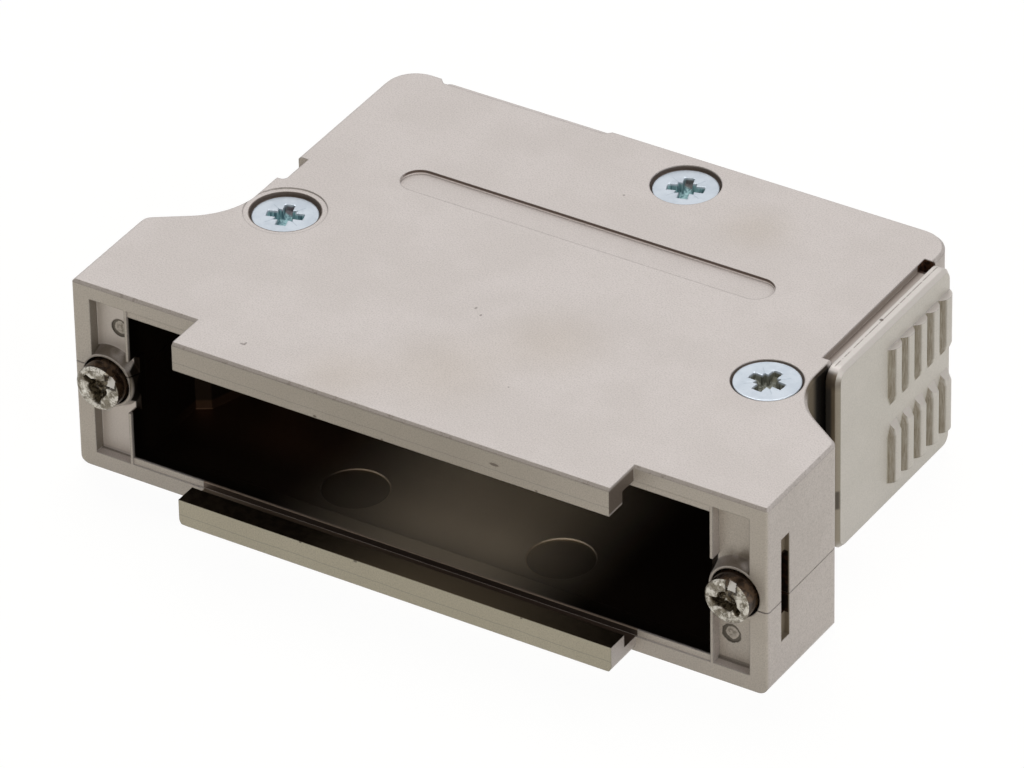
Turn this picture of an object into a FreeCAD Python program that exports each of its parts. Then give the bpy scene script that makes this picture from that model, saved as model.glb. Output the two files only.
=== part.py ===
import FreeCAD, Part
import Sketcher
import math
import os

# Metal D-sub hood for a 50-way connector, lying on its lower half.
# X runs across the ears, Y runs back from the ears' front faces, Z is up.

os.makedirs("parts", exist_ok=True)
doc = FreeCAD.newDocument("d_sub_hood")

# Driving dimensions in millimetres and degrees

SIZES = [
    # Outer form, across the hood from the flange screws
    ("screw_spacing", 61.11, "flange screw centres"),
    ("ear_margin", 3.095, "flange screw to the ear's side"),
    ("neck_inset", 3.155, "flange screw to the body's side"),
    ("mouth_inset", 2.355, "flange screw to the mouth's end"),
    ("lip_inset", 9.48, "flange screw to the lip's end"),
    ("body_height", 18.4, "both halves together"),
    ("body_depth", 42.3, "ear faces to rear wall"),
    ("ear_depth", 11.1, "ear face to the start of the neck slope"),
    ("neck_start", 15.3, "where the neck slope meets the body side"),
    ("neck_radius", 6.7, "concave corner between ear and body"),
    ("ear_corner", 1.2, "rear corner of an ear"),
    ("front_corner", 0.3, "front corner of an ear"),
    ("rear_corner", 3.0, "rear corners of the body"),
    ("edge_break", 0.25, "rounding of the upper edge"),
    ("base_corner", 1.0, "rounding along the lower edges of the ears"),
    # Walls and mouth
    ("skin", 1.46, "floor and roof thickness"),
    ("side_wall", 1.5, "side and rear wall thickness"),
    ("mouth_frame", 0.63, "inner strip round the mouth"),
    ("frame_depth", 2.0, "depth of the inner strip"),
    ("frame_setback", 0.12, "inner strip behind the ear face"),
    ("ear_block", 9.6, "depth of the solid ear beside the cavity"),
    ("shoulder_width", 1.2, "step of the cavity behind that block, along X"),
    ("shoulder_slope", 0.7, "the same step along Y"),
    ("cavity_neck", 13.6, "where the cavity reaches its full narrowing"),
    # Lips
    ("lip_reach", 3.87, "lip in front of the ear face"),
    ("lip_height", 2.67, "height of the bead at the lip's front"),
    ("lip_bead", 2.1, "depth of that bead"),
    ("lip_corner", 0.8, "lower end corners of the bottom lip"),
    # Split line, higher on the left than on the right
    ("split_offset", 1.03, "split above or below mid-height"),
    ("split_gap", 0.08, "seam between the halves"),
    ("split_step", -2.5, "where the split changes level"),
    # Ears
    ("pocket_edge", 1.75, "ear frame outside the pocket"),
    ("pocket_rib", 0.25, "rib beside the mouth"),
    ("pocket_depth", 1.05, "pocket behind the ear face"),
    ("tab_reach", 0.4, "tab into the mouth beside the screw"),
    ("tab_height", 5.2, "height of that tab"),
    ("collar_foot", 2.95, "collar round a screw head, at the pocket's floor"),
    ("collar_top", 2.5, "the same collar at the ear face"),
    ("seat_radius", 2.3, "screw head seat"),
    ("seat_depth", 1.62, "seat behind the ear face"),
    ("ear_bore", 1.5, "shank hole radius"),
    ("ear_bore_rest", 0.6, "shank hole beyond the screw's end"),
    ("slot_front", 2.1, "front wall of the nut slot"),
    ("slot_width", 1.3, "nut slot along Y"),
    ("slot_height", 10.1, "visible slot height"),
    ("slot_relief", 0.5, "depth of the slot's upper and lower ends"),
    ("mark_radius", 0.85, "round mark in an ear pocket"),
    ("mark_drop", 5.0, "mark above or below mid-height"),
    ("mark_inset", 4.05, "mark inward from the ear's side"),
    ("mark_depth", 0.12, "round marks in the casting"),
    # Shell screws and bosses
    ("screw_left_inset", 3.6, "left shell screw from the body's side"),
    ("screw_left_y", 17.76, "left shell screw"),
    ("screw_right_inset", 3.2, "right shell screw from the body's side"),
    ("screw_right_lead", 3.9, "right shell screw in front of the cover"),
    ("screw_rear_x", 3.4, "rear shell screw"),
    ("screw_rear_inset", 4.2, "rear shell screw from the rear wall"),
    ("sink_left", 0.45, "left head below the roof"),
    ("sink_right", 0.08, "right head below the roof"),
    ("sink_rear", 0.35, "rear head below the roof"),
    ("boss_radius", 3.2, "screw boss"),
    ("head_hole", 3.08, "radius of the countersunk hole"),
    ("head_radius", 2.88, "shell screw head"),
    ("head_rim", 0.3, "cylindrical rim of the head"),
    ("shell_shank", 1.5, "shell screw shank radius"),
    ("shell_screw_length", 13.5, "shell screw overall"),
    ("clearance_hole", 1.65, "hole radius in the upper half"),
    ("thread_gap", 0.03, "screw in its threaded hole"),
    ("spot_radius", 3.6, "shallow step round the left screw"),
    ("spot_depth", 0.12, "depth of that step"),
    # Flange screws and nut plates
    ("flange_head", 2.1, "flange screw head radius"),
    ("flange_proud", 1.46, "head in front of the ear face"),
    ("flange_shank", 1.42, "flange screw shank radius"),
    ("flange_shank_length", 7.2, "shank behind the head"),
    ("drive_slot", 0.85, "width of the driver slots"),
    ("drive_depth", 1.1, "depth of the driver slots"),
    ("seat_gap", 0.03, "head off its seat"),
    ("nut_width", 3.9, "nut plate across"),
    ("nut_height", 5.7, "nut plate height"),
    ("nut_gap", 0.05, "nut plate in its slot"),
    # Side window, its cut-outs and the ribbed cover
    ("window_margin", 2.2, "window above the floor and below the roof"),
    ("cover_inset", 3.35, "cover from the rear wall"),
    ("cover_length", 18.95, "cover along Y"),
    ("window_lap_front", 0.4, "cover over the window's front edge"),
    ("window_lap_rear", 1.55, "cover over the window's rear edge"),
    ("cut_lap_front", 1.2, "cover before the cut-out's front end"),
    ("cut_lap_rear", 0.65, "cover behind the cut-out's rear end"),
    ("side_cut_depth", 0.95, "cut-out into the side"),
    ("cut_drop", 0.65, "cut-out below the roof"),
    ("cover_thickness", 1.25, "outer plate of the cover"),
    ("cover_margin", 0.22, "cover short of roof and floor"),
    ("cover_corner", 1.2, "corners of the outer plate"),
    ("cover_edge", 0.35, "rounded rim of the outer plate"),
    ("insert_gap", 0.05, "inserts in their windows"),
    ("insert_neck", 1.2, "front of the cover's neck behind the window edge"),
    ("insert_flange", 1.0, "inner flange thickness"),
    ("insert_overlap", 0.6, "inner flange over the window edge"),
    # Finger ribs
    ("rib_pitch", 2.13, "rib spacing"),
    ("rib_first", 9.1, "first rib from the cover's front edge"),
    ("rib_radius", 1.13, "rounding of a rib"),
    ("rib_height", 0.65, "rib above the plate"),
    ("rib_length", 5.8, "length of a rib"),
    ("rib_ramp", 1.1, "ramped inner end of a rib"),
    ("rib_nose", 0.75, "radius left at that end"),
    ("rib_band", 1.8, "plain band between the rows"),
    # Rear window and cable insert
    ("cable_inset", 12.6, "cable axis from the body's side"),
    ("rear_window", 16.0, "window width"),
    ("rear_cut", 16.1, "cut-out width at its floor"),
    ("rear_cut_depth", 0.8, "cut-out into the rear edge, its ends at 45 degrees"),
    ("insert_width", 18.4, "outer plate of the cable insert"),
    ("insert_margin", 0.95, "cable insert short of roof and floor"),
    ("insert_thickness", 1.0, "outer plate of the cable insert"),
    ("cable_hole", 5.0, "cable hole radius"),
    # Strain relief
    ("clamp_inset", 9.8, "middle of the clamp from the rear wall"),
    ("clamp_length", 5.0, "clamp bar along the cable"),
    ("clamp_sheet", 1.0, "clamp bar thickness"),
    ("clamp_inner", 5.2, "inner radius of the arch"),
    ("clamp_screw_offset", 8.6, "clamp screws from the cable axis"),
    ("clamp_foot", 10.8, "end of the clamp foot from the cable axis"),
    ("post_radius", 2.2, "clamp post"),
    ("post_top", 6.6, "top of a clamp post"),
    ("saddle_top", 4.8, "top of the cast saddle"),
    ("saddle_width", 10.0, "saddle across the cable"),
    ("clamp_shank", 1.2, "clamp screw shank radius"),
    ("clamp_shank_length", 4.4, "clamp screw below its head"),
    ("clamp_head", 2.1, "clamp screw head radius"),
    ("clamp_head_height", 1.6, "clamp screw head"),
    # Label recess, side notch and ejector marks
    ("label_length", 36.25, "label recess overall"),
    ("label_width", 3.32, "label recess width"),
    ("label_y", 27.4, "middle of the label recess"),
    ("label_depth", 0.4, "label recess depth"),
    ("notch_front", 21.75, "side notch front end"),
    ("notch_rear", 25.45, "side notch rear end"),
    ("notch_depth", 1.0, "side notch into the wall"),
    ("notch_drop", 2.4, "side notch below the roof"),
    ("ejector_radius", 2.95, "ejector mark"),
    ("ejector_x", 10.1, "ejector marks from the middle"),
    ("ejector_y", 6.4, "ejector marks behind the ear faces"),
]

sheet = doc.addObject("Spreadsheet::Sheet", "Sizes")
for row, (alias, value, note) in enumerate(SIZES, 1):
    sheet.set("A%d" % row, note)
    sheet.set("B%d" % row, str(value))
    sheet.setAlias("B%d" % row, alias)
doc.recompute()


# Lengths that know their formula

class Length:
    """A value in millimetres with the spreadsheet formula that it comes from."""

    def __init__(self, value, text):
        self.value = value
        self.text = text

    def __add__(self, other):
        other = length(other)
        return Length(self.value + other.value, "(%s + %s)" % (self.text, other.text))

    def __sub__(self, other):
        other = length(other)
        return Length(self.value - other.value, "(%s - %s)" % (self.text, other.text))

    def __mul__(self, factor):
        factor = length(factor)
        return Length(self.value * factor.value, "(%s * %s)" % (self.text, factor.text))

    def __truediv__(self, factor):
        factor = length(factor)
        return Length(self.value / factor.value, "(%s / %s)" % (self.text, factor.text))

    def __neg__(self):
        return Length(-self.value, "(0 - %s)" % self.text)


def length(number):
    if isinstance(number, Length):
        return number
    return Length(float(number), "%g" % number)


def size(alias):
    return Length(float(sheet.get(alias)), "Sizes." + alias)


def bind(item, path, amount):
    item.setExpression(path, length(amount).text)


# Sketches, extrusions and booleans

ORIGIN = FreeCAD.Vector(0, 0, 0)
AXES = {
    "X": FreeCAD.Vector(1, 0, 0),
    "Y": FreeCAD.Vector(0, 1, 0),
    "Z": FreeCAD.Vector(0, 0, 1),
}
PLANES = {
    "XY": FreeCAD.Rotation(AXES["X"], AXES["Y"], AXES["Z"], "ZXY"),
    "XZ": FreeCAD.Rotation(AXES["X"], AXES["Z"], -AXES["Y"], "ZXY"),
    "YZ": FreeCAD.Rotation(AXES["Y"], AXES["Z"], AXES["X"], "ZXY"),
}
ALONG = {
    "X": FreeCAD.Rotation(AXES["Y"], 90),
    "Y": FreeCAD.Rotation(AXES["X"], -90),
    "Z": FreeCAD.Rotation(),
}
RUN_OVER = 0.5


def place(item, spot, rotation=None):
    """Bind an object's position to the spreadsheet."""
    item.Placement = FreeCAD.Placement(ORIGIN, rotation or FreeCAD.Rotation())
    for axis, amount in zip("xyz", spot):
        bind(item, "Placement.Base." + axis, amount)


def corner_run(before, corner, after, radius):
    """Where a rounded corner leaves its two sides, with the arc's centre."""
    inward = (before - corner).normalize()
    onward = (after - corner).normalize()
    half = inward.getAngle(onward) / 2
    run = radius / math.tan(half)
    middle = (inward + onward).normalize()
    return corner + inward * run, corner + onward * run, corner + middle * (radius / math.sin(half))


def profile(name, plane, corners, level=0):
    """A closed constrained sketch through corners, each x, y and an optional radius."""
    sketch = doc.addObject("Sketcher::SketchObject", name)
    sketch.Placement = FreeCAD.Placement(ORIGIN, PLANES[plane])
    bind(sketch, "Placement.Base." + {"XY": "z", "XZ": "y", "YZ": "x"}[plane], level)
    corners = [tuple(length(part) for part in corner) for corner in corners]
    points = [FreeCAD.Vector(corner[0].value, corner[1].value, 0) for corner in corners]
    count = len(corners)
    starts, ends, arcs = list(points), list(points), {}
    for i, corner in enumerate(corners):
        if len(corner) == 3 and corner[2].value > 0:
            entry, leave, centre = corner_run(
                points[i - 1], points[i], points[(i + 1) % count], corner[2].value)
            ends[i], starts[i], arcs[i] = entry, leave, centre
    for i in range(count):
        sketch.addGeometry(Part.LineSegment(starts[i], ends[(i + 1) % count]), False)
    bound = []
    for i, corner in enumerate(corners):
        last = (i - 1) % count
        if i in arcs:
            first_angle = math.atan2(ends[i].y - arcs[i].y, ends[i].x - arcs[i].x)
            last_angle = math.atan2(starts[i].y - arcs[i].y, starts[i].x - arcs[i].x)
            turn = (last_angle - first_angle) % (2 * math.pi)
            leftward = turn < math.pi
            if not leftward:
                first_angle, last_angle = last_angle, first_angle
            circle = Part.Circle(arcs[i], AXES["Z"], corner[2].value)
            arc = sketch.addGeometry(Part.ArcOfCircle(circle, first_angle, last_angle), False)
            entry_end, leave_end = (1, 2) if leftward else (2, 1)
            sketch.addConstraint(Sketcher.Constraint("Tangent", last, 2, arc, entry_end))
            sketch.addConstraint(Sketcher.Constraint("Tangent", i, 1, arc, leave_end))
            radius = sketch.addConstraint(Sketcher.Constraint("Radius", arc, corner[2].value))
            bound.append((radius, corner[2]))
            point = sketch.addGeometry(Part.Point(points[i]), True)
            sketch.addConstraint(Sketcher.Constraint("PointOnObject", point, 1, last))
            sketch.addConstraint(Sketcher.Constraint("PointOnObject", point, 1, i))
            target, end = point, 1
        else:
            sketch.addConstraint(Sketcher.Constraint("Coincident", last, 2, i, 1))
            target, end = i, 1
        for kind, amount in (("DistanceX", corner[0]), ("DistanceY", corner[1])):
            index = sketch.addConstraint(
                Sketcher.Constraint(kind, -1, 1, target, end, amount.value))
            bound.append((index, amount))
    for index, amount in bound:
        sketch.setExpression("Constraints[%d]" % index, amount.text)
    return sketch


def extrude(name, sketch, amount):
    """A solid from a sketch, along the sketch's own normal."""
    solid = doc.addObject("Part::Extrusion", name)
    solid.Base = sketch
    solid.DirMode = "Normal"
    solid.Solid = True
    bind(solid, "LengthFwd", amount)
    return solid


def box(name, low, high):
    block = doc.addObject("Part::Box", name)
    low = [length(part) for part in low]
    high = [length(part) for part in high]
    for side, start, end in zip(("Length", "Width", "Height"), low, high):
        bind(block, side, end - start)
    place(block, low)
    return block


def rod(name, axis, radius, spot, amount):
    cylinder = doc.addObject("Part::Cylinder", name)
    bind(cylinder, "Radius", radius)
    bind(cylinder, "Height", amount)
    place(cylinder, spot, ALONG[axis])
    return cylinder


def cone(name, axis, near_radius, far_radius, spot, amount):
    taper = doc.addObject("Part::Cone", name)
    bind(taper, "Radius1", near_radius)
    bind(taper, "Radius2", far_radius)
    bind(taper, "Height", amount)
    place(taper, spot, ALONG[axis])
    return taper


def join(name, items):
    together = doc.addObject("Part::MultiFuse", name)
    together.Shapes = items
    return together


def overlap(name, items):
    shared = doc.addObject("Part::MultiCommon", name)
    shared.Shapes = items
    return shared


def cut(name, base, tools):
    tool = tools[0] if len(tools) == 1 else join(name + "_tools", tools)
    result = doc.addObject("Part::Cut", name)
    result.Base = base
    result.Tool = tool
    return result


def mirrored(name, source, axis, level=0):
    """A copy across the plane that lies at level on the axis."""
    copy = doc.addObject("Part::Mirroring", name)
    copy.Source = source
    copy.Normal = AXES[axis]
    copy.Base = ORIGIN
    bind(copy, "Base." + axis.lower(), level)
    return copy


def bevelled(name, base, axis, level, amount):
    """Chamfer every edge that lies in the plane at this level of the axis."""
    doc.recompute()
    chosen = []
    for index, edge in enumerate(base.Shape.Edges, 1):
        if flat_at(edge, axis, level):
            chosen.append((index, amount.value, amount.value))
    chamfer = doc.addObject("Part::Chamfer", name)
    chamfer.Base = base
    chamfer.Edges = chosen
    return chamfer


def flat_at(edge, axis, level, within=0.001):
    """Whether an edge lies in the plane at this level of the axis."""
    limits = edge.BoundBox
    low = getattr(limits, axis + "Min")
    high = getattr(limits, axis + "Max")
    return abs(low - level.value) < within and abs(high - level.value) < within


def spun(name, sketch):
    """A solid turned about the sketch's vertical axis."""
    solid = doc.addObject("Part::Revolution", name)
    solid.Source = sketch
    solid.Axis = AXES["Z"]
    solid.Base = ORIGIN
    solid.Angle = 360
    solid.Solid = True
    return solid


# Places that several pieces share

height = size("body_height")
depth = size("body_depth")
skin = size("skin")
middle = height / 2
flange_x = size("screw_spacing") / 2
width = (flange_x + size("ear_margin")) * 2
side_x = flange_x - size("neck_inset")
mouth_x = flange_x - size("mouth_inset")
lip_x = flange_x - size("lip_inset")
inner_x = side_x - size("side_wall")
inner_y = depth - size("side_wall")
frame_low = skin + size("mouth_frame")
side_cut_x = side_x - size("side_cut_depth")
rear_cut_y = depth - size("rear_cut_depth")
window_low = size("window_margin")
window_high = height - window_low
cover_rear = depth - size("cover_inset")
cover_front = cover_rear - size("cover_length")
window_front = cover_front + size("window_lap_front")
window_rear = cover_rear - size("window_lap_rear")
side_cut_front = cover_front + size("cut_lap_front")
side_cut_rear = cover_rear - size("cut_lap_rear")
clamp_y = depth - size("clamp_inset")
cable_x = size("cable_inset") - side_x
rear_window_low = cable_x - size("rear_window") / 2
rear_window_high = cable_x + size("rear_window") / 2
sink_slope = size("head_radius") - size("shell_shank")

SHELL_SCREWS = {
    "left": (size("screw_left_inset") - side_x, size("screw_left_y")),
    "right": (side_x - size("screw_right_inset"), cover_front - size("screw_right_lead")),
    "rear": (size("screw_rear_x"), depth - size("screw_rear_inset")),
}


# The casting as one hull, before it is split

def hull_solid():
    """Ears, concave necks and body, with the lower edges of the ears rounded."""
    outline = profile("hull_outline", "XY", [
        (-width / 2, 0, size("front_corner")),
        (width / 2, 0, size("front_corner")),
        (width / 2, size("ear_depth"), size("ear_corner")),
        (side_x, size("neck_start"), size("neck_radius")),
        (side_x, depth, size("rear_corner")),
        (-side_x, depth, size("rear_corner")),
        (-side_x, size("neck_start"), size("neck_radius")),
        (-width / 2, size("ear_depth"), size("ear_corner")),
    ])
    plan = extrude("hull_plan", outline, height)
    front = profile("hull_front", "XZ", [
        (-width / 2, 0, size("base_corner")),
        (width / 2, 0, size("base_corner")),
        (width / 2, height),
        (-width / 2, height),
    ], depth + RUN_OVER)
    elevation = extrude("hull_elevation", front, depth + RUN_OVER * 2)
    hull = overlap("hull_blank", [plan, elevation])
    return bevelled("hull", hull, "Z", height, size("edge_break"))


def lip_solids():
    """The upper lip and its mirror image below: a plate with a bead at its front."""
    reach = size("lip_reach")
    bead = -reach + size("lip_bead")
    section = profile("lip_section", "YZ", [
        (-reach, height - size("lip_height")),
        (bead, height - size("lip_height")),
        (bead, height - skin),
        (size("frame_setback"), height - skin),
        (size("frame_depth"), height - skin),
        (size("frame_depth"), height),
        (-reach + size("edge_break"), height),
        (-reach, height - size("edge_break")),
    ], -lip_x)
    upper = extrude("upper_lip", section, lip_x * 2)
    lower = mirrored("lower_lip_blank", upper, "Z", middle)
    front = profile("lip_front", "XZ", [
        (-lip_x, 0, size("lip_corner")),
        (lip_x, 0, size("lip_corner")),
        (lip_x, height),
        (-lip_x, height),
    ], depth)
    limit = extrude("lip_limit", front, depth + reach + RUN_OVER)
    return [upper, overlap("lower_lip", [lower, limit])]


def void_solid():
    """The room inside, with screw bosses, clamp posts and the cable saddle left standing."""
    shoulder_x = mouth_x - size("shoulder_width")
    shoulder_y = size("ear_block") + size("shoulder_slope")
    outline = profile("void_outline", "XY", [
        (-mouth_x, size("frame_depth") - size("frame_setback")),
        (mouth_x, size("frame_depth") - size("frame_setback")),
        (mouth_x, size("ear_block")),
        (shoulder_x, shoulder_y),
        (inner_x, size("cavity_neck")),
        (inner_x, inner_y),
        (-inner_x, inner_y),
        (-inner_x, size("cavity_neck")),
        (-shoulder_x, shoulder_y),
        (-mouth_x, size("ear_block")),
    ], skin)
    room = extrude("void_room", outline, height - skin * 2)
    columns = []
    for where, (x, y) in SHELL_SCREWS.items():
        columns.append(rod("boss_" + where, "Z", size("boss_radius"), (x, y, 0), height))
    for where, side in (("left", -1), ("right", 1)):
        spot = (cable_x + size("clamp_screw_offset") * side, clamp_y, 0)
        columns.append(rod("post_" + where, "Z", size("post_radius"), spot, size("post_top")))
    saddle = box("saddle_block",
                 (cable_x - size("saddle_width") / 2, clamp_y - size("clamp_length") / 2, 0),
                 (cable_x + size("saddle_width") / 2, clamp_y + size("clamp_length") / 2,
                  size("saddle_top")))
    hollow = rod("saddle_hollow", "Y", size("clamp_inner"),
                 (cable_x, clamp_y - size("clamp_length"), middle), size("clamp_length") * 2)
    columns.append(cut("saddle", saddle, [hollow]))
    return cut("void", room, columns)


def mouth_tools():
    """The mouth between the ears, with a tab left beside each flange screw."""
    tab_x = mouth_x - size("tab_reach")
    tab_low = middle - size("tab_height") / 2
    tab_high = middle + size("tab_height") / 2
    opening = profile("mouth_section", "XZ", [
        (-mouth_x, frame_low),
        (mouth_x, frame_low),
        (mouth_x, tab_low),
        (tab_x, tab_low),
        (tab_x, tab_high),
        (mouth_x, tab_high),
        (mouth_x, height - frame_low),
        (-mouth_x, height - frame_low),
        (-mouth_x, tab_high),
        (-tab_x, tab_high),
        (-tab_x, tab_low),
        (-mouth_x, tab_low),
    ], size("frame_depth"))
    mouth = extrude("mouth", opening, size("frame_depth") + RUN_OVER)
    strip = box("mouth_strip", (-mouth_x, -size("frame_setback"), skin),
                (mouth_x, size("frame_setback"), height - skin))
    return [mouth, strip]


def ear_tools():
    """Pocket round a collar, head seat, shank hole, nut slot and mark of each ear."""
    rib_x = mouth_x + size("pocket_rib")
    tab_x = mouth_x - size("tab_reach") - size("pocket_rib")
    tab_low = middle - size("tab_height") / 2
    tab_high = middle + size("tab_height") / 2
    pocket_x = width / 2 - size("pocket_edge")
    section = profile("pocket_section", "XZ", [
        (rib_x, skin),
        (pocket_x, skin),
        (pocket_x, height - skin),
        (rib_x, height - skin),
        (rib_x, tab_high),
        (tab_x, tab_high),
        (tab_x, tab_low),
        (rib_x, tab_low),
    ], size("pocket_depth"))
    collar = cone("collar", "Y", size("collar_top"), size("collar_foot"), (flange_x, 0, middle),
                  size("pocket_depth"))
    pocket = cut("pocket", extrude("pocket_room", section, size("pocket_depth") + RUN_OVER), [collar])
    seat = rod("head_seat", "Y", size("seat_radius"), (flange_x, 0, middle), size("seat_depth"))
    bore = rod("ear_bore_hole", "Y", size("ear_bore"), (flange_x, 0, middle),
               size("seat_depth") + size("flange_shank_length") + size("ear_bore_rest"))
    slot_rear = size("slot_front") + size("slot_width")
    nut_low = middle - size("nut_height") / 2 - size("nut_gap")
    nut_high = middle + size("nut_height") / 2 + size("nut_gap")
    nut_room = box("nut_room",
                   (flange_x - size("nut_width") / 2 - size("nut_gap"), size("slot_front"), nut_low),
                   (width / 2 + RUN_OVER, slot_rear, nut_high))
    slot = box("slot_mouth",
               (width / 2 - size("slot_relief"), size("slot_front"), middle - size("slot_height") / 2),
               (width / 2 + RUN_OVER, slot_rear, middle + size("slot_height") / 2))
    right = [pocket, seat, bore, nut_room, slot]
    left = [mirrored(tool.Name + "_left", tool, "X") for tool in right]
    marks = []
    for where, side in (("left", -1), ("right", 1)):
        spot = ((width / 2 - size("mark_inset")) * side,
                size("pocket_depth"),
                middle - size("mark_drop") * side)
        marks.append(rod("ear_mark_" + where, "Y", size("mark_radius"), spot, size("mark_depth")))
    return right + left + marks


def window_tools():
    """Side and rear windows, and the cut-outs of roof and floor over them."""
    outside = side_x + RUN_OVER
    behind = depth + RUN_OVER
    side_window = box("side_window", (inner_x - RUN_OVER, window_front, window_low),
                      (outside, window_rear, window_high))
    side_ledge = box("side_ledge", (side_cut_x, side_cut_front, height - size("cut_drop")),
                     (outside, side_cut_rear, height + RUN_OVER))
    side_hole = box("side_hole", (side_cut_x, window_rear, window_high - RUN_OVER),
                    (outside, side_cut_rear, height + RUN_OVER))
    rear_window = box("rear_window_hole", (rear_window_low, inner_y - RUN_OVER, window_low),
                      (rear_window_high, behind, window_high))
    cut_half = size("rear_cut") / 2
    cut_wide = cut_half + size("rear_cut_depth") + RUN_OVER
    rear_outline = profile("rear_ledge_outline", "XY", [
        (cable_x - cut_half, rear_cut_y),
        (cable_x + cut_half, rear_cut_y),
        (cable_x + cut_wide, behind),
        (cable_x - cut_wide, behind),
    ], height - size("cut_drop"))
    rear_ledge = extrude("rear_ledge", rear_outline, size("cut_drop") + RUN_OVER)
    over = [side_ledge, side_hole, rear_ledge]
    under = [mirrored(tool.Name + "_under", tool, "Z", middle) for tool in over]
    return [side_window, rear_window] + over + under


def casting_solid():
    blank = join("casting_blank", [hull_solid()] + lip_solids())
    tools = [void_solid()] + mouth_tools() + ear_tools() + window_tools()
    return cut("casting", blank, tools)


# The stepped split and the two halves

def split_region(name, upper):
    """Everything above, or below, the split, which changes level at split_step."""
    gap = size("split_gap") / 2
    away = width * 2
    if upper:
        left_level = middle + size("split_offset") + gap
        right_level = middle - size("split_offset") + gap
        step = size("split_step") + gap
        end = height * 2
        corners = [(-away, left_level), (step, left_level), (step, right_level),
                   (away, right_level), (away, end), (-away, end)]
    else:
        left_level = middle + size("split_offset") - gap
        right_level = middle - size("split_offset") - gap
        step = size("split_step") - gap
        end = -height
        corners = [(-away, end), (away, end), (away, right_level),
                   (step, right_level), (step, left_level), (-away, left_level)]
    section = profile(name + "_section", "XZ", corners, depth * 2)
    return extrude(name, section, depth * 3)


def upper_holes():
    """Countersunk clearance holes, the step round one, label recess and side notch."""
    tools = []
    for where, (x, y) in SHELL_SCREWS.items():
        under_rim = size("sink_" + where) + size("head_rim")
        sink = size("head_hole") - size("head_radius")
        rim = height - under_rim + sink
        slope = size("head_hole") - size("clearance_hole")
        tools.append(rod("head_hole_" + where, "Z", size("head_hole"), (x, y, rim),
                         height - rim + RUN_OVER))
        tools.append(cone("countersink_" + where, "Z", size("clearance_hole"), size("head_hole"),
                          (x, y, rim - slope), slope))
        tools.append(rod("clearance_" + where, "Z", size("clearance_hole"), (x, y, 0), height))
    x, y = SHELL_SCREWS["left"]
    tools.append(rod("spot_face", "Z", size("spot_radius"), (x, y, height - size("spot_depth")),
                     size("spot_depth") + RUN_OVER))
    label_x = size("label_length") / 2
    label_low = size("label_y") - size("label_width") / 2
    label_high = size("label_y") + size("label_width") / 2
    label_end = size("label_width") * 0.499
    label = profile("label_outline", "XY", [
        (-label_x, label_low, label_end),
        (label_x, label_low, label_end),
        (label_x, label_high, label_end),
        (-label_x, label_high, label_end),
    ], height - size("label_depth"))
    tools.append(extrude("label_recess", label, size("label_depth") + RUN_OVER))
    notch_x = -side_x + size("notch_depth")
    notch = profile("notch_outline", "XY", [
        (-side_x - RUN_OVER, size("notch_front")),
        (notch_x, size("notch_front"), size("notch_depth") / 2),
        (notch_x, size("notch_rear")),
        (-side_x - RUN_OVER, size("notch_rear")),
    ], height - size("notch_drop"))
    tools.append(extrude("side_notch", notch, size("notch_drop") + RUN_OVER))
    return tools


def lower_holes():
    """Threaded holes for the shell and clamp screws, and the ejector marks."""
    tools = []
    for where, (x, y) in SHELL_SCREWS.items():
        tools.append(rod("thread_" + where, "Z", size("shell_shank") + size("thread_gap"),
                         (x, y, skin), height))
    for where, side in (("left", -1), ("right", 1)):
        x = cable_x + size("clamp_screw_offset") * side
        bottom = size("post_top") - size("clamp_shank_length")
        tools.append(rod("post_thread_" + where, "Z", size("clamp_shank") + size("thread_gap"),
                         (x, clamp_y, bottom), height))
    for where, side in (("left", -1), ("right", 1)):
        spot = (size("ejector_x") * side, size("ejector_y"), skin - size("mark_depth"))
        tools.append(rod("ejector_" + where, "Z", size("ejector_radius"), spot, size("mark_depth") * 2))
    return tools


def shells():
    casting = casting_solid()
    upper = overlap("upper_half", [casting, split_region("upper_region", True)])
    lower = overlap("lower_half", [casting, split_region("lower_region", False)])
    return (cut("top_shell", upper, upper_holes()),
            cut("bottom_shell", lower, lower_holes()))


# Screws

def cross_recess(name, arm_width, arm_length, recess_depth):
    """Two crossed slots, cut down from the head's top at z = 0."""
    half = arm_width / 2
    reach = arm_length / 2
    slots = []
    for label, (x, y) in (("across", (reach, half)), ("along", (half, reach))):
        slots.append(box("%s_%s" % (name, label), (-x, -y, -recess_depth), (x, y, RUN_OVER)))
    return join(name, slots)


def shell_screw_master():
    """Countersunk screw, head up, with its top face at z = 0."""
    head = size("head_radius")
    shank = size("shell_shank")
    rim = size("head_rim")
    end = size("shell_screw_length")
    half = profile("shell_screw_half", "XZ", [
        (0, -end),
        (shank, -end),
        (shank, -rim - sink_slope),
        (head, -rim),
        (head, 0),
        (0, 0),
    ])
    blank = spun("shell_screw_blank", half)
    recess = cross_recess("shell_recess", head * 0.3, head * 1.11, head * 0.45)
    return cut("shell_screw_master", blank, [recess])


def flange_screw_master():
    """Flange screw, head face at z = 0: a full driver slot crossed by a deeper recess."""
    head = size("flange_head")
    shank = size("flange_shank")
    head_length = size("flange_proud") + size("seat_depth") - size("seat_gap")
    end = head_length + size("flange_shank_length")
    half = profile("flange_screw_half", "XZ", [
        (0, -end),
        (shank, -end),
        (shank, -head_length),
        (head, -head_length),
        (head, -size("edge_break")),
        (head - size("edge_break"), 0),
        (0, 0),
    ])
    blank = spun("flange_screw_blank", half)
    slot = box("flange_slot",
               (-head - RUN_OVER, -size("drive_slot") / 2, -size("drive_depth")),
               (head + RUN_OVER, size("drive_slot") / 2, RUN_OVER))
    recess = cross_recess("flange_recess", size("drive_slot"), head * 1.5, size("drive_depth") * 1.4)
    return cut("flange_screw_master", blank, [join("flange_drive", [slot, recess])])


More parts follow.
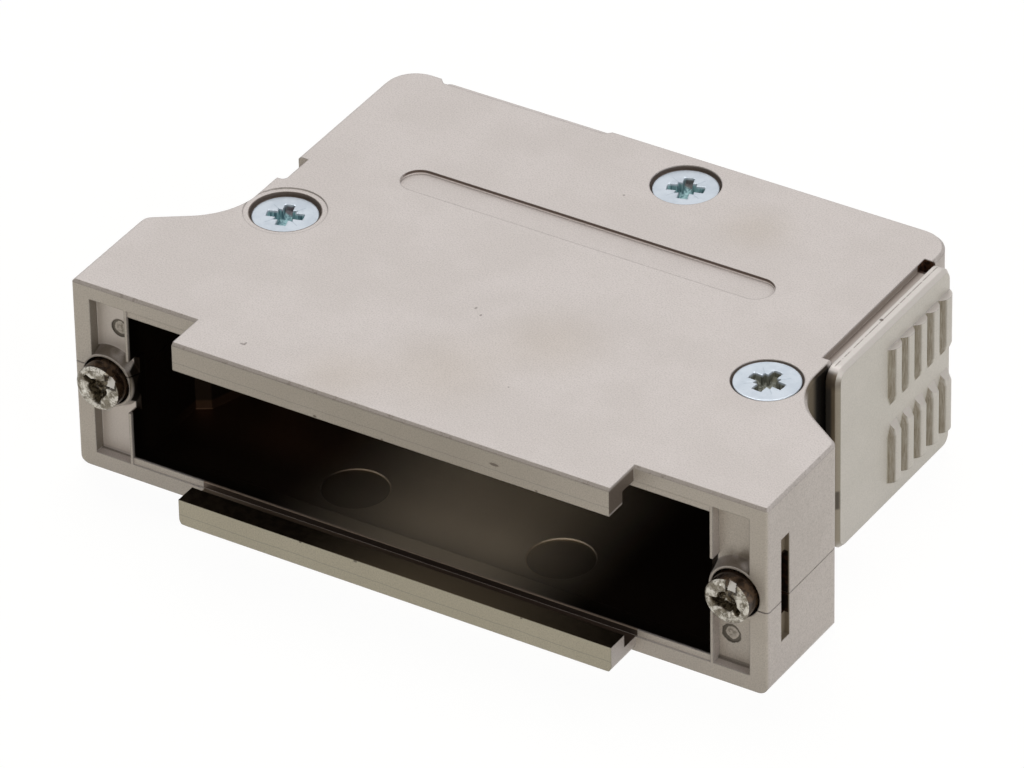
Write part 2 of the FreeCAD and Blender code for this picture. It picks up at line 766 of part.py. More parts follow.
def clamp_screw_master():
    """Pan-head screw, underside of the head at z = 0."""
    head = size("clamp_head")
    shank = size("clamp_shank")
    top = size("clamp_head_height")
    end = size("clamp_shank_length") + size("clamp_sheet") - size("insert_gap")
    half = profile("clamp_screw_half", "XZ", [
        (0, -end),
        (shank, -end),
        (shank, 0),
        (head, 0),
        (head, top / 2),
        (head - top / 2, top),
        (0, top),
    ])
    blank = spun("clamp_screw_blank", half)
    slot = box("clamp_slot", (-head, -head * 0.15, top - top * 0.6), (head, head * 0.15, top + RUN_OVER))
    return cut("clamp_screw_master", blank, [slot])


def placed(name, master, spot, rotation=None):
    """A named copy of a master piece, at a bound place."""
    piece = doc.addObject("Part::Feature", name)
    doc.recompute()
    piece.Shape = master.Shape
    place(piece, spot, rotation)
    return piece


def screws():
    pieces = []
    master = shell_screw_master()
    for where, turn in (("left", 17), ("right", -4.5), ("rear", 18.6)):
        x, y = SHELL_SCREWS[where]
        pieces.append(placed("shell_screw_" + where, master, (x, y, height - size("sink_" + where)),
                             FreeCAD.Rotation(AXES["Z"], turn)))
    master = flange_screw_master()
    facing = FreeCAD.Rotation(AXES["X"], 90)
    for where, side, turn in (("left", -1, 35), ("right", 1, 50)):
        spin = FreeCAD.Rotation(AXES["Z"], turn)
        pieces.append(placed("flange_screw_" + where, master,
                             (flange_x * side, -size("flange_proud"), middle), facing.multiply(spin)))
    master = clamp_screw_master()
    for where, side in (("left", -1), ("right", 1)):
        spot = (cable_x + size("clamp_screw_offset") * side, clamp_y,
                size("post_top") + size("clamp_sheet"))
        pieces.append(placed("clamp_screw_" + where, master, spot))
    return pieces


# Nut plates

def nut_plates():
    thickness = size("slot_width") - size("nut_gap") * 2
    half_x = size("nut_width") / 2
    half_z = size("nut_height") / 2
    front = size("slot_front") + size("nut_gap")
    blank = box("nut_blank", (flange_x - half_x, front, middle - half_z),
                (flange_x + half_x, front + thickness, middle + half_z))
    thread = rod("nut_thread", "Y", size("flange_shank") + size("thread_gap"),
                 (flange_x, 0, middle), depth)
    right = cut("nut_plate_right", blank, [thread])
    left = mirrored("nut_plate_left", right, "X")
    return [left, right]


# Ribbed cover of the side window

def cover_ribs(outer_x):
    """Two rows of half-round finger ribs, each ramped and nosed towards the band between the rows."""
    centre_x = outer_x + size("rib_height") - size("rib_radius")
    low = middle + size("rib_band") / 2
    high = low + size("rib_length")
    full = low + size("rib_ramp")
    rods = []
    for i in range(5):
        y = cover_front + size("rib_first") + size("rib_pitch") * i
        rods.append(rod("rib_rod_%d" % (i + 1), "Z", size("rib_radius"), (centre_x, y, full),
                        size("rib_length") - size("rib_ramp")))
        rods.append(cone("rib_nose_%d" % (i + 1), "Z", size("rib_nose"), size("rib_radius"),
                         (centre_x, y, low), size("rib_ramp")))
    crest = outer_x + size("rib_height")
    ramp = profile("rib_ramp_section", "XZ", [
        (outer_x - RUN_OVER, low),
        (outer_x, low),
        (crest + RUN_OVER / 5, full),
        (crest + RUN_OVER / 5, high),
        (outer_x - RUN_OVER, high),
    ], depth)
    upper = overlap("rib_row_upper", [join("rib_rods", rods), extrude("rib_limit", ramp, depth)])
    lower = mirrored("rib_row_lower", upper, "Z", middle)
    return [upper, lower]


def side_entry_cover():
    inside = side_x + size("insert_gap")
    outer = inside + size("cover_thickness")
    low = size("cover_margin")
    high = height - size("cover_margin")
    outline = profile("cover_outline", "YZ", [
        (cover_front, low, size("cover_corner")),
        (cover_rear, low, size("cover_corner")),
        (cover_rear, high, size("cover_corner")),
        (cover_front, high, size("cover_corner")),
    ], inside)
    blank = extrude("cover_blank", outline, size("cover_thickness"))
    plate = bevelled("cover_plate", blank, "X", outer, size("cover_edge"))
    gap = size("insert_gap")
    grip = size("insert_overlap")
    neck = box("cover_neck",
               (inner_x - gap, window_front + size("insert_neck"), window_low + gap),
               (inside, window_rear - gap, window_high - gap))
    flange = box("cover_flange",
                 (inner_x - gap - size("insert_flange"), window_front - grip, window_low - grip),
                 (inner_x - gap, window_rear + grip, window_high + grip))
    return join("side_entry_cover", [plate, neck, flange] + cover_ribs(outer))


# Cable insert of the rear window

def cable_entry_insert():
    inside = depth + size("insert_gap")
    outer = inside + size("insert_thickness")
    low = size("insert_margin")
    high = height - size("insert_margin")
    half = size("insert_width") / 2
    outline = profile("insert_outline", "XZ", [
        (cable_x - half, low, size("cover_corner")),
        (cable_x + half, low, size("cover_corner")),
        (cable_x + half, high, size("cover_corner")),
        (cable_x - half, high, size("cover_corner")),
    ], outer)
    block = extrude("insert_blank", outline, size("insert_thickness"))
    plate = bevelled("insert_plate", block, "Y", outer, size("cover_edge"))
    gap = size("insert_gap")
    grip = size("insert_overlap")
    neck = box("insert_neck_block", (rear_window_low + gap, inner_y - gap, window_low + gap),
               (rear_window_high - gap, inside, window_high - gap))
    flange = box("insert_flange_block",
                 (rear_window_low - grip, inner_y - gap - size("insert_flange"), window_low - grip),
                 (rear_window_high + grip, inner_y - gap, window_high + grip))
    blank = join("insert_solid", [plate, neck, flange])
    hole = rod("cable_hole_tool", "Y", size("cable_hole"),
               (cable_x, inner_y - size("insert_flange") * 2, middle), depth)
    return cut("cable_entry_insert", blank, [hole])


# Strain relief strap

def cable_clamp_bar():
    """A strap on the two posts, arched over the cable."""
    sheet_t = size("clamp_sheet")
    inner = size("clamp_inner")
    foot = size("clamp_foot")
    base = size("post_top")
    outer = inner + sheet_t
    rear = clamp_y + size("clamp_length") / 2
    crown = middle + inner
    section = profile("clamp_section", "XZ", [
        (cable_x - foot, base),
        (cable_x - inner, base),
        (cable_x - inner, crown, inner * 0.99),
        (cable_x + inner, crown, inner * 0.99),
        (cable_x + inner, base),
        (cable_x + foot, base),
        (cable_x + foot, base + sheet_t),
        (cable_x + outer, base + sheet_t),
        (cable_x + outer, crown + sheet_t, outer * 0.99),
        (cable_x - outer, crown + sheet_t, outer * 0.99),
        (cable_x - outer, base + sheet_t),
        (cable_x - foot, base + sheet_t),
    ], rear)
    blank = extrude("clamp_blank", section, size("clamp_length"))
    holes = []
    for where, side in (("left", -1), ("right", 1)):
        spot = (cable_x + size("clamp_screw_offset") * side, clamp_y, base - RUN_OVER)
        holes.append(rod("clamp_hole_" + where, "Z", size("clamp_shank") + size("insert_gap"), spot,
                         sheet_t + RUN_OVER * 2))
    return cut("cable_clamp_bar", blank, holes)


# Build, check and write the pieces

nodes = list(shells())
nodes += screws()
nodes += nut_plates()
nodes.append(side_entry_cover())
nodes.append(cable_entry_insert())
nodes.append(cable_clamp_bar())
doc.recompute()

for item in doc.Objects:
    if "Invalid" in item.State or "Error" in item.State:
        raise RuntimeError("%s did not recompute" % item.Name)

for node in nodes:
    node.Label = node.Name
    shape = node.Shape
    if shape.isNull() or not shape.isValid() or len(shape.Solids) != 1:
        raise RuntimeError("%s is not one valid solid" % node.Name)
    shape.exportStep("parts/%s.step" % node.Label)
    limits = shape.BoundBox
    print("%-20s %8.1f mm3  x %.2f %.2f  y %.2f %.2f  z %.2f %.2f" % (
        node.Label, shape.Volume, limits.XMin, limits.XMax, limits.YMin, limits.YMax,
        limits.ZMin, limits.ZMax))
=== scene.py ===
import math

import bpy
from mathutils import Matrix, Vector


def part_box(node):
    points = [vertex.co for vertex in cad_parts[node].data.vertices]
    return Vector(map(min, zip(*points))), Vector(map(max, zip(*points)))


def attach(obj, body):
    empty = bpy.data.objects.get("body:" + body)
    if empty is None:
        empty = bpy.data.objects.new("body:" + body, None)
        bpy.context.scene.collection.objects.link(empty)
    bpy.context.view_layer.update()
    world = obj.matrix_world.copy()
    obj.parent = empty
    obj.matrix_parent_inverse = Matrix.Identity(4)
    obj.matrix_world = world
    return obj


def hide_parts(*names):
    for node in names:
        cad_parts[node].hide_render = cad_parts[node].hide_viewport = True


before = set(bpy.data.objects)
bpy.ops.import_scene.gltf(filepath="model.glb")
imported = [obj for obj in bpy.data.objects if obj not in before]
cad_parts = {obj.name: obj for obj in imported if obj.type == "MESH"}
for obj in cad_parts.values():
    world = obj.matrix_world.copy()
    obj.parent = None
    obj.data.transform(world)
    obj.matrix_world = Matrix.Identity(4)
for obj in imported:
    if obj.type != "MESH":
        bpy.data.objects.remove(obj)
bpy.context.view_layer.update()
MM = 0.001
WHITE = (1, 1, 1, 1)


# Small node-graph builder

BEVEL_SAMPLES = 6
MIX_SHARE, MIX_FIRST, MIX_SECOND, MIX_RESULT = 0, 6, 7, 2


class Graph:
    """Adds shader nodes to one material or world and links them."""

    def __init__(self, tree):
        self.tree = tree
        self.tree.nodes.clear()

    def node(self, kind, inputs=None, **settings):
        made = self.tree.nodes.new(kind)
        for name, value in settings.items():
            setattr(made, name, value)
        for key, value in (inputs or {}).items():
            self.feed(made.inputs[key], value)
        return made

    def feed(self, socket, value):
        if isinstance(value, bpy.types.NodeSocket):
            self.tree.links.new(value, socket)
        elif isinstance(value, bpy.types.Node):
            self.tree.links.new(value.outputs[0], socket)
        else:
            socket.default_value = value

    def math(self, operation, first, second=0.0):
        return self.node("ShaderNodeMath", {0: first, 1: second}, operation=operation).outputs[0]

    def plus(self, first, second):
        return self.math("ADD", first, second)

    def minus(self, first, second):
        return self.math("SUBTRACT", first, second)

    def without(self, share):
        """What a share leaves of 1."""
        return self.minus(1.0, share)

    def times(self, first, *others):
        for other in others:
            first = self.math("MULTIPLY", first, other)
        return first

    def most(self, first, *others):
        for other in others:
            first = self.math("MAXIMUM", first, other)
        return first

    def ramp(self, value, low, high):
        """0 at low, 1 at high, smooth between."""
        return self.node("ShaderNodeMapRange", {"Value": value, "From Min": low, "From Max": high},
                         interpolation_type="SMOOTHSTEP").outputs["Result"]

    def band(self, value, low, high, soft=0.05):
        """1 from low to high, 0 beyond the soft edges."""
        return self.times(self.ramp(value, low - soft, low), self.ramp(value, high + soft, high))

    def away(self, first, first_middle, second, second_middle):
        """Distance from a point, seen in two of the axes."""
        one = self.minus(first, first_middle)
        two = self.minus(second, second_middle)
        return self.math("SQRT", self.plus(self.times(one, one), self.times(two, two)))

    def oval(self, first, first_middle, wide, second, second_middle, high):
        """Distance from a point, where 1 is the outline of an oval."""
        one = self.math("DIVIDE", self.minus(first, first_middle), wide)
        two = self.math("DIVIDE", self.minus(second, second_middle), high)
        return self.away(one, 0.0, two, 0.0)

    def mix(self, share, first, second, blend="MIX"):
        """A colour between two."""
        made = self.node("ShaderNodeMix", data_type="RGBA", blend_type=blend)
        for index, value in ((MIX_SHARE, share), (MIX_FIRST, first), (MIX_SECOND, second)):
            self.feed(made.inputs[index], rgba(value))
        return made.outputs[MIX_RESULT]

    def tint(self, share, color, factor):
        """A colour multiplied by another."""
        return self.mix(share, color, factor, "MULTIPLY")

    def noise(self, place, scale, detail=2.0, roughness=0.5):
        return self.node("ShaderNodeTexNoise", {
            "Vector": place, "Scale": scale, "Detail": detail, "Roughness": roughness}).outputs["Fac"]

    def stretched(self, place, factors):
        return self.node("ShaderNodeVectorMath", {0: place, 1: factors}, operation="MULTIPLY").outputs[0]

    def place(self):
        """Object position in millimetres."""
        coordinates = self.node("ShaderNodeTexCoord")
        scaled = self.node("ShaderNodeVectorMath", {0: coordinates.outputs["Object"]}, operation="SCALE")
        scaled.inputs["Scale"].default_value = 1 / MM
        return scaled.outputs[0]

    def parts(self, vector):
        return self.node("ShaderNodeSeparateXYZ", {0: vector}).outputs

    def facing(self):
        """The three parts of the surface's own direction, in the object's axes."""
        return self.parts(self.node("ShaderNodeTexCoord").outputs["Normal"])

    def rounded(self, radius):
        """The surface's direction with its edges rounded, by a radius in millimetres."""
        return self.node("ShaderNodeBevel", {"Radius": radius * MM}, samples=BEVEL_SAMPLES).outputs[0]

    def near_edges(self, rounded):
        """1 where the rounded direction turns far from the flat one."""
        flat = self.node("ShaderNodeNewGeometry").outputs["Normal"]
        turn = self.node("ShaderNodeVectorMath", {0: rounded, 1: flat}, operation="DOT_PRODUCT")
        return self.ramp(turn.outputs["Value"], 0.995, 0.86)

    def bump(self, strength, depth, height, direction):
        """The direction with a relief on it, of a depth in millimetres."""
        return self.node("ShaderNodeBump", {"Strength": strength, "Distance": depth * MM, "Height": height,
                                            "Normal": direction}).outputs[0]

    def finish(self, color, metallic, roughness, direction):
        """The surface of the material."""
        shader = self.node("ShaderNodeBsdfPrincipled", {
            "Base Color": rgba(color), "Metallic": metallic, "Roughness": roughness, "Normal": direction})
        self.node("ShaderNodeOutputMaterial", {"Surface": shader.outputs[0]})


class CastGraph(Graph):
    """The graph of a casting, with the place, direction and noise that its masks share."""

    def __init__(self, tree):
        super().__init__(tree)
        self.spot = self.place()
        self.x, self.y, self.z = self.parts(self.spot)
        self.across = self.math("ABSOLUTE", self.x)
        self.sideways, self.onward, self.up = self.facing()
        self.cloud = self.noise(self.spot, 0.14, 2.0, 0.6)
        self.mottle = self.noise(self.spot, 1.4, 2.0, 0.6)
        self.grain = self.noise(self.spot, 7.5, 2.0, 0.7)
        self.nicks = self.ramp(self.noise(self.spot, 1.7, 3.0, 0.7), 0.56, 0.66)

    def area(self, limits):
        """1 within all the limits.

        A limit names a place in millimetres (x, y, z or across, which is x on both sides alike) or a part
        of the surface's direction (sideways, onward or up). Two numbers after it say where the share is 0
        and where it is 1. Three say the low end, the high end and how soft they are.
        """
        shares = []
        for name, *ends in limits:
            cut = self.ramp if len(ends) == 2 else self.band
            shares.append(cut(getattr(self, name), *ends))
        return self.times(*shares)

    def paint(self, tone, limits, share, color):
        """The tone, covered with a colour in an area."""
        return self.mix(self.times(self.area(limits), share), tone, color)


def rgba(value):
    if isinstance(value, (tuple, list)) and len(value) == 3:
        return (*value, 1.0)
    return value


def srgb(red, green, blue):
    """Linear colour of an 8-bit screen colour."""
    def linear(channel):
        channel /= 255
        return channel / 12.92 if channel <= 0.04045 else ((channel + 0.055) / 1.055) ** 2.4
    return linear(red), linear(green), linear(blue)


def shade(color, factor):
    return tuple(part * factor for part in color)


def new_material(name, kind=Graph):
    material = bpy.data.materials.new(name)
    material.use_nodes = True
    return material, kind(material.node_tree)


def set_material(item, material):
    item.data.materials.clear()
    item.data.materials.append(material)


# Where the screws and the top face are, in millimetres

def middle_of(node):
    low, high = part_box(node)
    return (low + high) / 2 / MM


SHELL_SCREWS = {}
for where, turn in (("left", 17.0), ("right", -4.5), ("rear", 18.6)):
    node = "shell_screw_" + where
    spot = middle_of(node)
    SHELL_SCREWS[node] = (Vector((spot.x, spot.y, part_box(node)[1].z / MM)), turn)

FLANGE_SCREWS = {}
for where in ("left", "right"):
    node = "flange_screw_" + where
    spot = middle_of(node)
    FLANGE_SCREWS[node] = Vector((spot.x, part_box(node)[0].y / MM, spot.z))

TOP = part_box("top_shell")[1].z / MM


# Colours of the castings

SHELL_LIGHT = srgb(207, 199, 195)
SHELL_DARK = srgb(196, 188, 183)
COVER_LIGHT = srgb(221, 216, 210)
COVER_DARK = srgb(211, 207, 200)
COVER_INSIDE = srgb(40, 34, 27)
ROOM_FLOOR = srgb(244, 226, 200)
ROOM_DEEP = srgb(62, 50, 40)
BROWN = srgb(84, 68, 56)
DARK_BROWN = srgb(70, 56, 46)
POCKET_CORNER_SHADE = srgb(84, 74, 60)
NEAR_BLACK = srgb(22, 17, 12)


# Bare castings

EDGE_RADIUS = 0.16


def bare_tone(graph, light, dark, specks):
    """Clouds, mottles and a fine grain of dark and light specks, and a painted shade that makes forward
    faces darker and warmer.
    """
    tone = graph.mix(graph.times(graph.ramp(graph.cloud, 0.35, 0.65), 0.5), light, dark)
    tone = graph.mix(graph.times(graph.ramp(graph.mottle, 0.40, 0.75), 0.25), tone, dark)
    tone = graph.mix(graph.times(graph.ramp(graph.grain, 0.46, 0.66), specks), tone, shade(dark, 0.80))
    tone = graph.mix(graph.times(graph.ramp(graph.grain, 0.46, 0.28), specks), tone, shade(light, 1.12))
    # Painted shade: faces looking forward are tinted darker and warmer
    return graph.tint(graph.ramp(graph.onward, -0.5, -0.9), tone, (0.93, 0.92, 0.86))


def edge_shade_and_nicks(graph, tone, edge_shade, dark):
    """Painted shade along the rounded edges, darker still in nicks."""
    # Painted shade of the rounded edges, with more darkening in nicks
    share = graph.plus(graph.times(graph.nicks, 0.35), 0.40)
    return graph.mix(graph.times(edge_shade, share), tone, shade(dark, 0.42))


def finish_casting(graph, tone, gloomy, direction):
    """Relief and gloss of a casting. Gloomy places are more metallic, which keeps them dark."""
    relief = graph.plus(graph.times(graph.grain, 0.6), graph.mottle)
    roughness = graph.plus(graph.times(graph.grain, 0.20), 0.42)
    metallic = graph.plus(graph.times(gloomy, 0.68), 0.30)
    graph.finish(tone, metallic, roughness, graph.bump(0.25, 0.05, relief, direction))


# Side entry cover

COVER_FRONT = (("onward", -0.5, -0.8), ("y", 20.8, 20.4))
COVER_FLANK = (("x", 28.72, 28.80), ("onward", -0.30, -0.55))
COVER_NICK = (("z", 4.7, 6.2, 0.3), ("y", 20.42, 20.20), ("x", 28.30, 28.45))
COVER_BACK = (("x", 27.42, 27.30),)
COVER_TOP_Z = (18.05, 18.15)
COVER_PARTING_X = (27.77, 27.85, 0.03)
COVER_FLAW = (27.72, 28.8)
COVER_FLAW_RADIUS = (0.24, 0.10)
COVER_SHADOW_X = (27.85, 28.15)
COVER_OUTER_X = (28.3, 28.7)
COVER_PATCH_Z = (17.0, 17.5, 0.9)


def cover_front_tone(graph):
    """The front edge of the cover in painted shade: a painted shadow, black next to the hood, lighter
    outwards, with a brown patch.
    """
    tone = graph.mix(graph.ramp(graph.x, *COVER_SHADOW_X), srgb(30, 22, 14), srgb(134, 119, 97))
    tone = graph.mix(graph.ramp(graph.x, *COVER_OUTER_X), tone, srgb(150, 139, 119))
    return graph.mix(graph.times(graph.band(graph.z, *COVER_PATCH_Z), 0.8), tone, srgb(84, 67, 48))


def cover_metal(name):
    """The cover's casting: streaks on its flank under a painted shade, marks and painted shade on its
    edges, a painted shadow on its front edge, a back painted dark as shade, and sides painted lighter than
    its top.
    """
    material, graph = new_material(name, CastGraph)
    tone = bare_tone(graph, COVER_LIGHT, COVER_DARK, 0.28)
    direction = graph.rounded(EDGE_RADIUS)
    tone = edge_shade_and_nicks(graph, tone, graph.near_edges(direction), COVER_DARK)
    # Painted light: the sides keep a lighter tone than the upward faces, which take a darker, pinker one
    upper_tone = graph.mix(graph.ramp(graph.grain, 0.4, 0.6), srgb(210, 201, 197), COVER_DARK)
    tone = graph.mix(graph.ramp(graph.up, 0.25, 0.60), tone, upper_tone)
    # Painted shadow and shade on the front edge, beside the hood
    tone = graph.paint(tone, COVER_FRONT, 0.92, cover_front_tone(graph))
    # Painted shade: forward-facing rib flanks are painted dark brown, with streaks along them
    streaks = graph.noise(graph.stretched(graph.spot, (1.0, 6.0, 0.35)), 2.2, 2.0, 0.6)
    tone = graph.paint(tone, COVER_FLANK, graph.plus(graph.times(streaks, 0.9), 0.25), srgb(118, 105, 82))
    upper_edge = graph.ramp(graph.z, *COVER_TOP_Z)
    parting = graph.times(upper_edge, graph.band(graph.x, *COVER_PARTING_X))
    tone = graph.mix(graph.times(parting, graph.ramp(graph.mottle, 0.30, 0.55), 0.6), tone,
                     srgb(92, 76, 66))
    flaw_x, flaw_y = COVER_FLAW
    flaw = graph.ramp(graph.away(graph.x, flaw_x, graph.y, flaw_y), *COVER_FLAW_RADIUS)
    tone = graph.mix(graph.times(flaw, upper_edge, 0.85), tone, srgb(70, 52, 42))
    tone = graph.paint(tone, COVER_NICK, 0.8, srgb(60, 52, 44))
    # Painted shade: the back of the cover, inside the hood, is painted near black
    gloomy = graph.area(COVER_BACK)
    tone = graph.mix(gloomy, tone, COVER_INSIDE)
    finish_casting(graph, tone, gloomy, direction)
    return material


# Channel, rear hole and corner beside the cover

CHANNEL = (("z", 17.6, 17.9, 0.05), ("x", 26.35, 26.42), ("up", 0.5, 0.9))
CHANNEL_WALL = (("x", 26.30, 26.50, 0.02), ("z", 17.7, 18.2, 0.05), ("y", 20.6, 21.2))
REAR_HOLE = (("y", 36.95, 37.20), ("y", 38.46, 38.40), ("x", 26.28, 26.34), ("z", 16.0, TOP - 0.10, 0.06))
BEHIND_EAR = (("y", 14.8, 16.8), ("y", 21.0, 20.4), ("x", 26.6, 27.0), ("sideways", 0.1, 0.4),
              ("z", TOP - 0.02, TOP - 0.10))
CHANNEL_SHADE_X = (26.40, 27.5)
WALL_SHADE_Z = (18.24, 18.36)
CORNER_SHADE_Y = (17.6, 18.8)
CORNER_GLOOM_Y = (17.8, 18.8)


def beside_cover(graph, tone):
    """Painted shade along the cover: the channel darker near its wall, the wall dark along its top and
    painted lighter below, the rear hole dark and the corner behind the ear near black.
    """
    # Painted shade: the channel's floor is darker near its wall
    floor_tone = graph.mix(graph.ramp(graph.x, *CHANNEL_SHADE_X), srgb(128, 116, 107), srgb(188, 178, 171))
    tone = graph.mix(graph.area(CHANNEL), tone, floor_tone)
    # Painted light on the wall's lower part and painted shade along its top
    wall_tone = graph.mix(graph.ramp(graph.z, *WALL_SHADE_Z), srgb(172, 160, 151), srgb(82, 66, 56))
    tone = graph.paint(tone, CHANNEL_WALL, 0.9, wall_tone)
    # Painted shade: the rear hole is painted dark, mottled brown
    hole_tone = graph.mix(graph.ramp(graph.mottle, 0.42, 0.58), srgb(40, 25, 17), srgb(96, 64, 46))
    tone = graph.mix(graph.area(REAR_HOLE), tone, hole_tone)
    # Painted shade: the corner behind the ear turns near black towards the rear
    corner_tone = graph.mix(graph.ramp(graph.y, *CORNER_SHADE_Y), srgb(98, 86, 66), srgb(16, 12, 8))
    return graph.mix(graph.area(BEHIND_EAR), tone, corner_tone)


# Ears

POCKET_WALL = (("across", 31.70, 31.93, 0.02), ("y", 0.06, 1.0, 0.04), ("z", 1.6, 16.8, 0.05))
POCKET_FLOOR = (("y", 1.0, 1.10, 0.04), ("x", -28.2, -28.4), ("onward", -0.5, -0.9))
POCKET_CORNER = (("y", 0.85, 1.10, 0.1), ("z", 1.4, 1.6, 0.2), ("across", 28.4, 31.9, 0.05))
SLOT_END = (("y", 2.05, 3.45, 0.04), ("across", 33.0, 33.62, 0.02), ("z", 4.0, 14.4, 0.10))
MARK_INWARD = 0.955
MARK_OFFSET = 5.0
MARK_RIM = (0.78, 1.02, 0.08)
MARK_RIM_FRONT_Y = (0.8, 0.9)
MARK_RIM_REAR_Y = (1.3, 1.2)
MARK_CORE = (0.62, 0.30)
MARK_CORE_Y = (1.0, 1.3, 0.1)
SEAT_RADIUS = (2.42, 2.30)
SEAT_Y = (0.2, 4.6, 0.18)
DARK_PATCH_SHIFT = (0.7, 1.3)
DARK_PATCH_RADIUS = (3.3, 1.6)
DARK_PATCH_Y = (0.06, 1.2, 0.06)
DARK_PATCH_END = (31.95, 31.85)


def ear_marks(graph, tone, spot, side):
    """Round mark, screw seat in painted shade and dark patch around a flange screw, and one coat of
    painted shade in both pocket corners.
    """
    x, y, z = graph.x, graph.y, graph.z
    uneven = graph.noise(graph.spot, 2.6, 2.0, 0.6)
    reach = graph.away(x, spot.x - MARK_INWARD * side, z, spot.z - MARK_OFFSET * side)
    rim = graph.times(graph.band(graph.plus(reach, graph.times(uneven, 0.3)), *MARK_RIM),
                      graph.ramp(y, *MARK_RIM_REAR_Y), graph.ramp(y, *MARK_RIM_FRONT_Y))
    tone = graph.mix(graph.times(rim, 0.85), tone, srgb(78, 70, 56))
    core = graph.times(graph.ramp(reach, *MARK_CORE), graph.ramp(uneven, 0.35, 0.65),
                       graph.band(y, *MARK_CORE_Y))
    tone = graph.mix(graph.times(core, 0.6), tone, srgb(96, 88, 72))
    # Painted shade: the screw's seat, the gap around it, is painted near black
    seat = graph.times(graph.ramp(graph.away(x, spot.x, z, spot.z), *SEAT_RADIUS),
                       graph.band(y, *SEAT_Y))
    tone = graph.mix(seat, tone, NEAR_BLACK)
    # A dark patch above each screw, on the pocket floor
    patches = graph.noise(graph.spot, 0.7, 1.0, 0.5)
    shift_x, shift_z = DARK_PATCH_SHIFT
    from_dark_patch = graph.away(x, spot.x + shift_x, z, spot.z + shift_z)
    dark_patch = graph.times(graph.ramp(from_dark_patch, *DARK_PATCH_RADIUS), graph.band(y, *DARK_PATCH_Y),
                         graph.ramp(graph.across, *DARK_PATCH_END), graph.ramp(patches, 0.15, 0.50))
    tone = graph.mix(graph.times(dark_patch, 0.85), tone, srgb(90, 77, 59))
    # Painted shade in the pocket corners
    return graph.paint(tone, POCKET_CORNER, 0.35, POCKET_CORNER_SHADE)


def ears(graph, tone):
    """The ears' pockets with painted shade and light, marks and slot ends."""
    # Painted shade on the pocket walls
    tone = graph.paint(tone, POCKET_WALL, 0.7, srgb(112, 105, 90))
    for spot in FLANGE_SCREWS.values():
        tone = ear_marks(graph, tone, spot, math.copysign(1, spot.x))
    # Painted light: the left ear's pocket floor is painted lighter
    tone = graph.paint(tone, POCKET_FLOOR, 0.55, shade(SHELL_LIGHT, 1.3))
    return graph.mix(graph.area(SLOT_END), tone, srgb(140, 128, 112))


# Top face

LABEL_WALL = (("z", 18.02, TOP - 0.02, 0.02), ("y", 25.0, 29.3, 0.1), ("across", 0.0, 18.5, 0.1),
              ("onward", 0.1, -0.3))
UPPER_EDGE = (("up", 0.55, 0.85, 0.05), ("z", TOP - 0.24, TOP - 0.03, 0.03))
ON_TOP = (("z", TOP - 0.1, TOP - 0.05),)
LABEL_LINE_Z = (18.11, 18.17)
LEFT_STEP = (3.3, 4.4, 0.05)
LEFT_STEP_FRONT = (2.6, 0.8)
WELL_RADIUS = (3.20, 3.10)
WELL_Z = (6.0, TOP - 0.14, 0.12)
# Middle x, middle y, half width, half height
TOP_PITS = [(-15.9, -1.0, 0.30, 0.12), (-15.75, -0.80, 0.10, 0.20), (-2.06, 13.2, 0.12, 0.18),
            (-1.15, 12.5, 0.12, 0.16), (-0.3, 34.1, 0.12, 0.12), (6.4, 4.6, 0.08, 0.08)]
# Middle x, middle y, radius
TOP_STAINS = [(-6.5, -0.8, 6.0), (0.5, 4.0, 8.0), (6.0, 12.0, 7.0), (12.0, 35.0, 5.0)]


def spared_ring(graph, edge_shade):
    """Painted shade along the edges, but little of it on the front of the step around the left shell
    screw.
    """
    spot = SHELL_SCREWS["shell_screw_left"][0]
    reach = graph.away(graph.x, spot.x, graph.y, spot.y)
    bare, spared = LEFT_STEP_FRONT
    ring = graph.times(graph.band(reach, *LEFT_STEP), graph.ramp(graph.y, spot.y + bare, spot.y + spared))
    return graph.times(edge_shade, graph.without(graph.times(ring, 0.85)))


def well_mask(graph):
    """1 on the walls of the shell screws' holes."""
    wells = []
    for spot, _ in SHELL_SCREWS.values():
        reach = graph.away(graph.x, spot.x, graph.y, spot.y)
        wells.append(graph.times(graph.ramp(reach, *WELL_RADIUS), graph.band(graph.z, *WELL_Z)))
    return graph.most(*wells)


def top_edges(graph, tone):
    """The label recess's wall in painted light and shade, the screw holes in painted shade and the chamfer
    around the top face in painted shade.
    """
    # Painted light on the label wall's lower part and painted shade along its top
    wall_tone = graph.mix(graph.ramp(graph.z, *LABEL_LINE_Z), shade(SHELL_LIGHT, 1.45), srgb(84, 64, 54))
    tone = graph.paint(tone, LABEL_WALL, 0.9, wall_tone)
    # Painted shade on the walls of the screw holes
    tone = graph.mix(graph.times(well_mask(graph), 0.9), tone, BROWN)
    # Painted shade on the chamfer around the top face, more at the front and in nicks
    front_share = graph.plus(graph.times(graph.ramp(graph.onward, -0.45, -0.60), 0.26), 0.18)
    share = graph.plus(graph.times(graph.nicks, 0.2), front_share)
    return graph.paint(tone, UPPER_EDGE, share, srgb(96, 82, 70))


def top_flaws(graph, tone):
    """Stains and pits of the top face."""
    on_top = graph.area(ON_TOP)
    for stain_x, stain_y, radius in TOP_STAINS:
        stain = graph.ramp(graph.away(graph.x, stain_x, graph.y, stain_y), radius, 0.0)
        tone = graph.tint(graph.times(stain, on_top, 0.8), tone, (0.91, 0.89, 0.85))
    for pit_x, pit_y, wide, high in TOP_PITS:
        pit = graph.ramp(graph.oval(graph.x, pit_x, wide, graph.y, pit_y, high), 1.2, 0.6)
        tone = graph.mix(graph.times(pit, on_top, 0.6), tone, srgb(92, 80, 72))
    return tone


# Lips

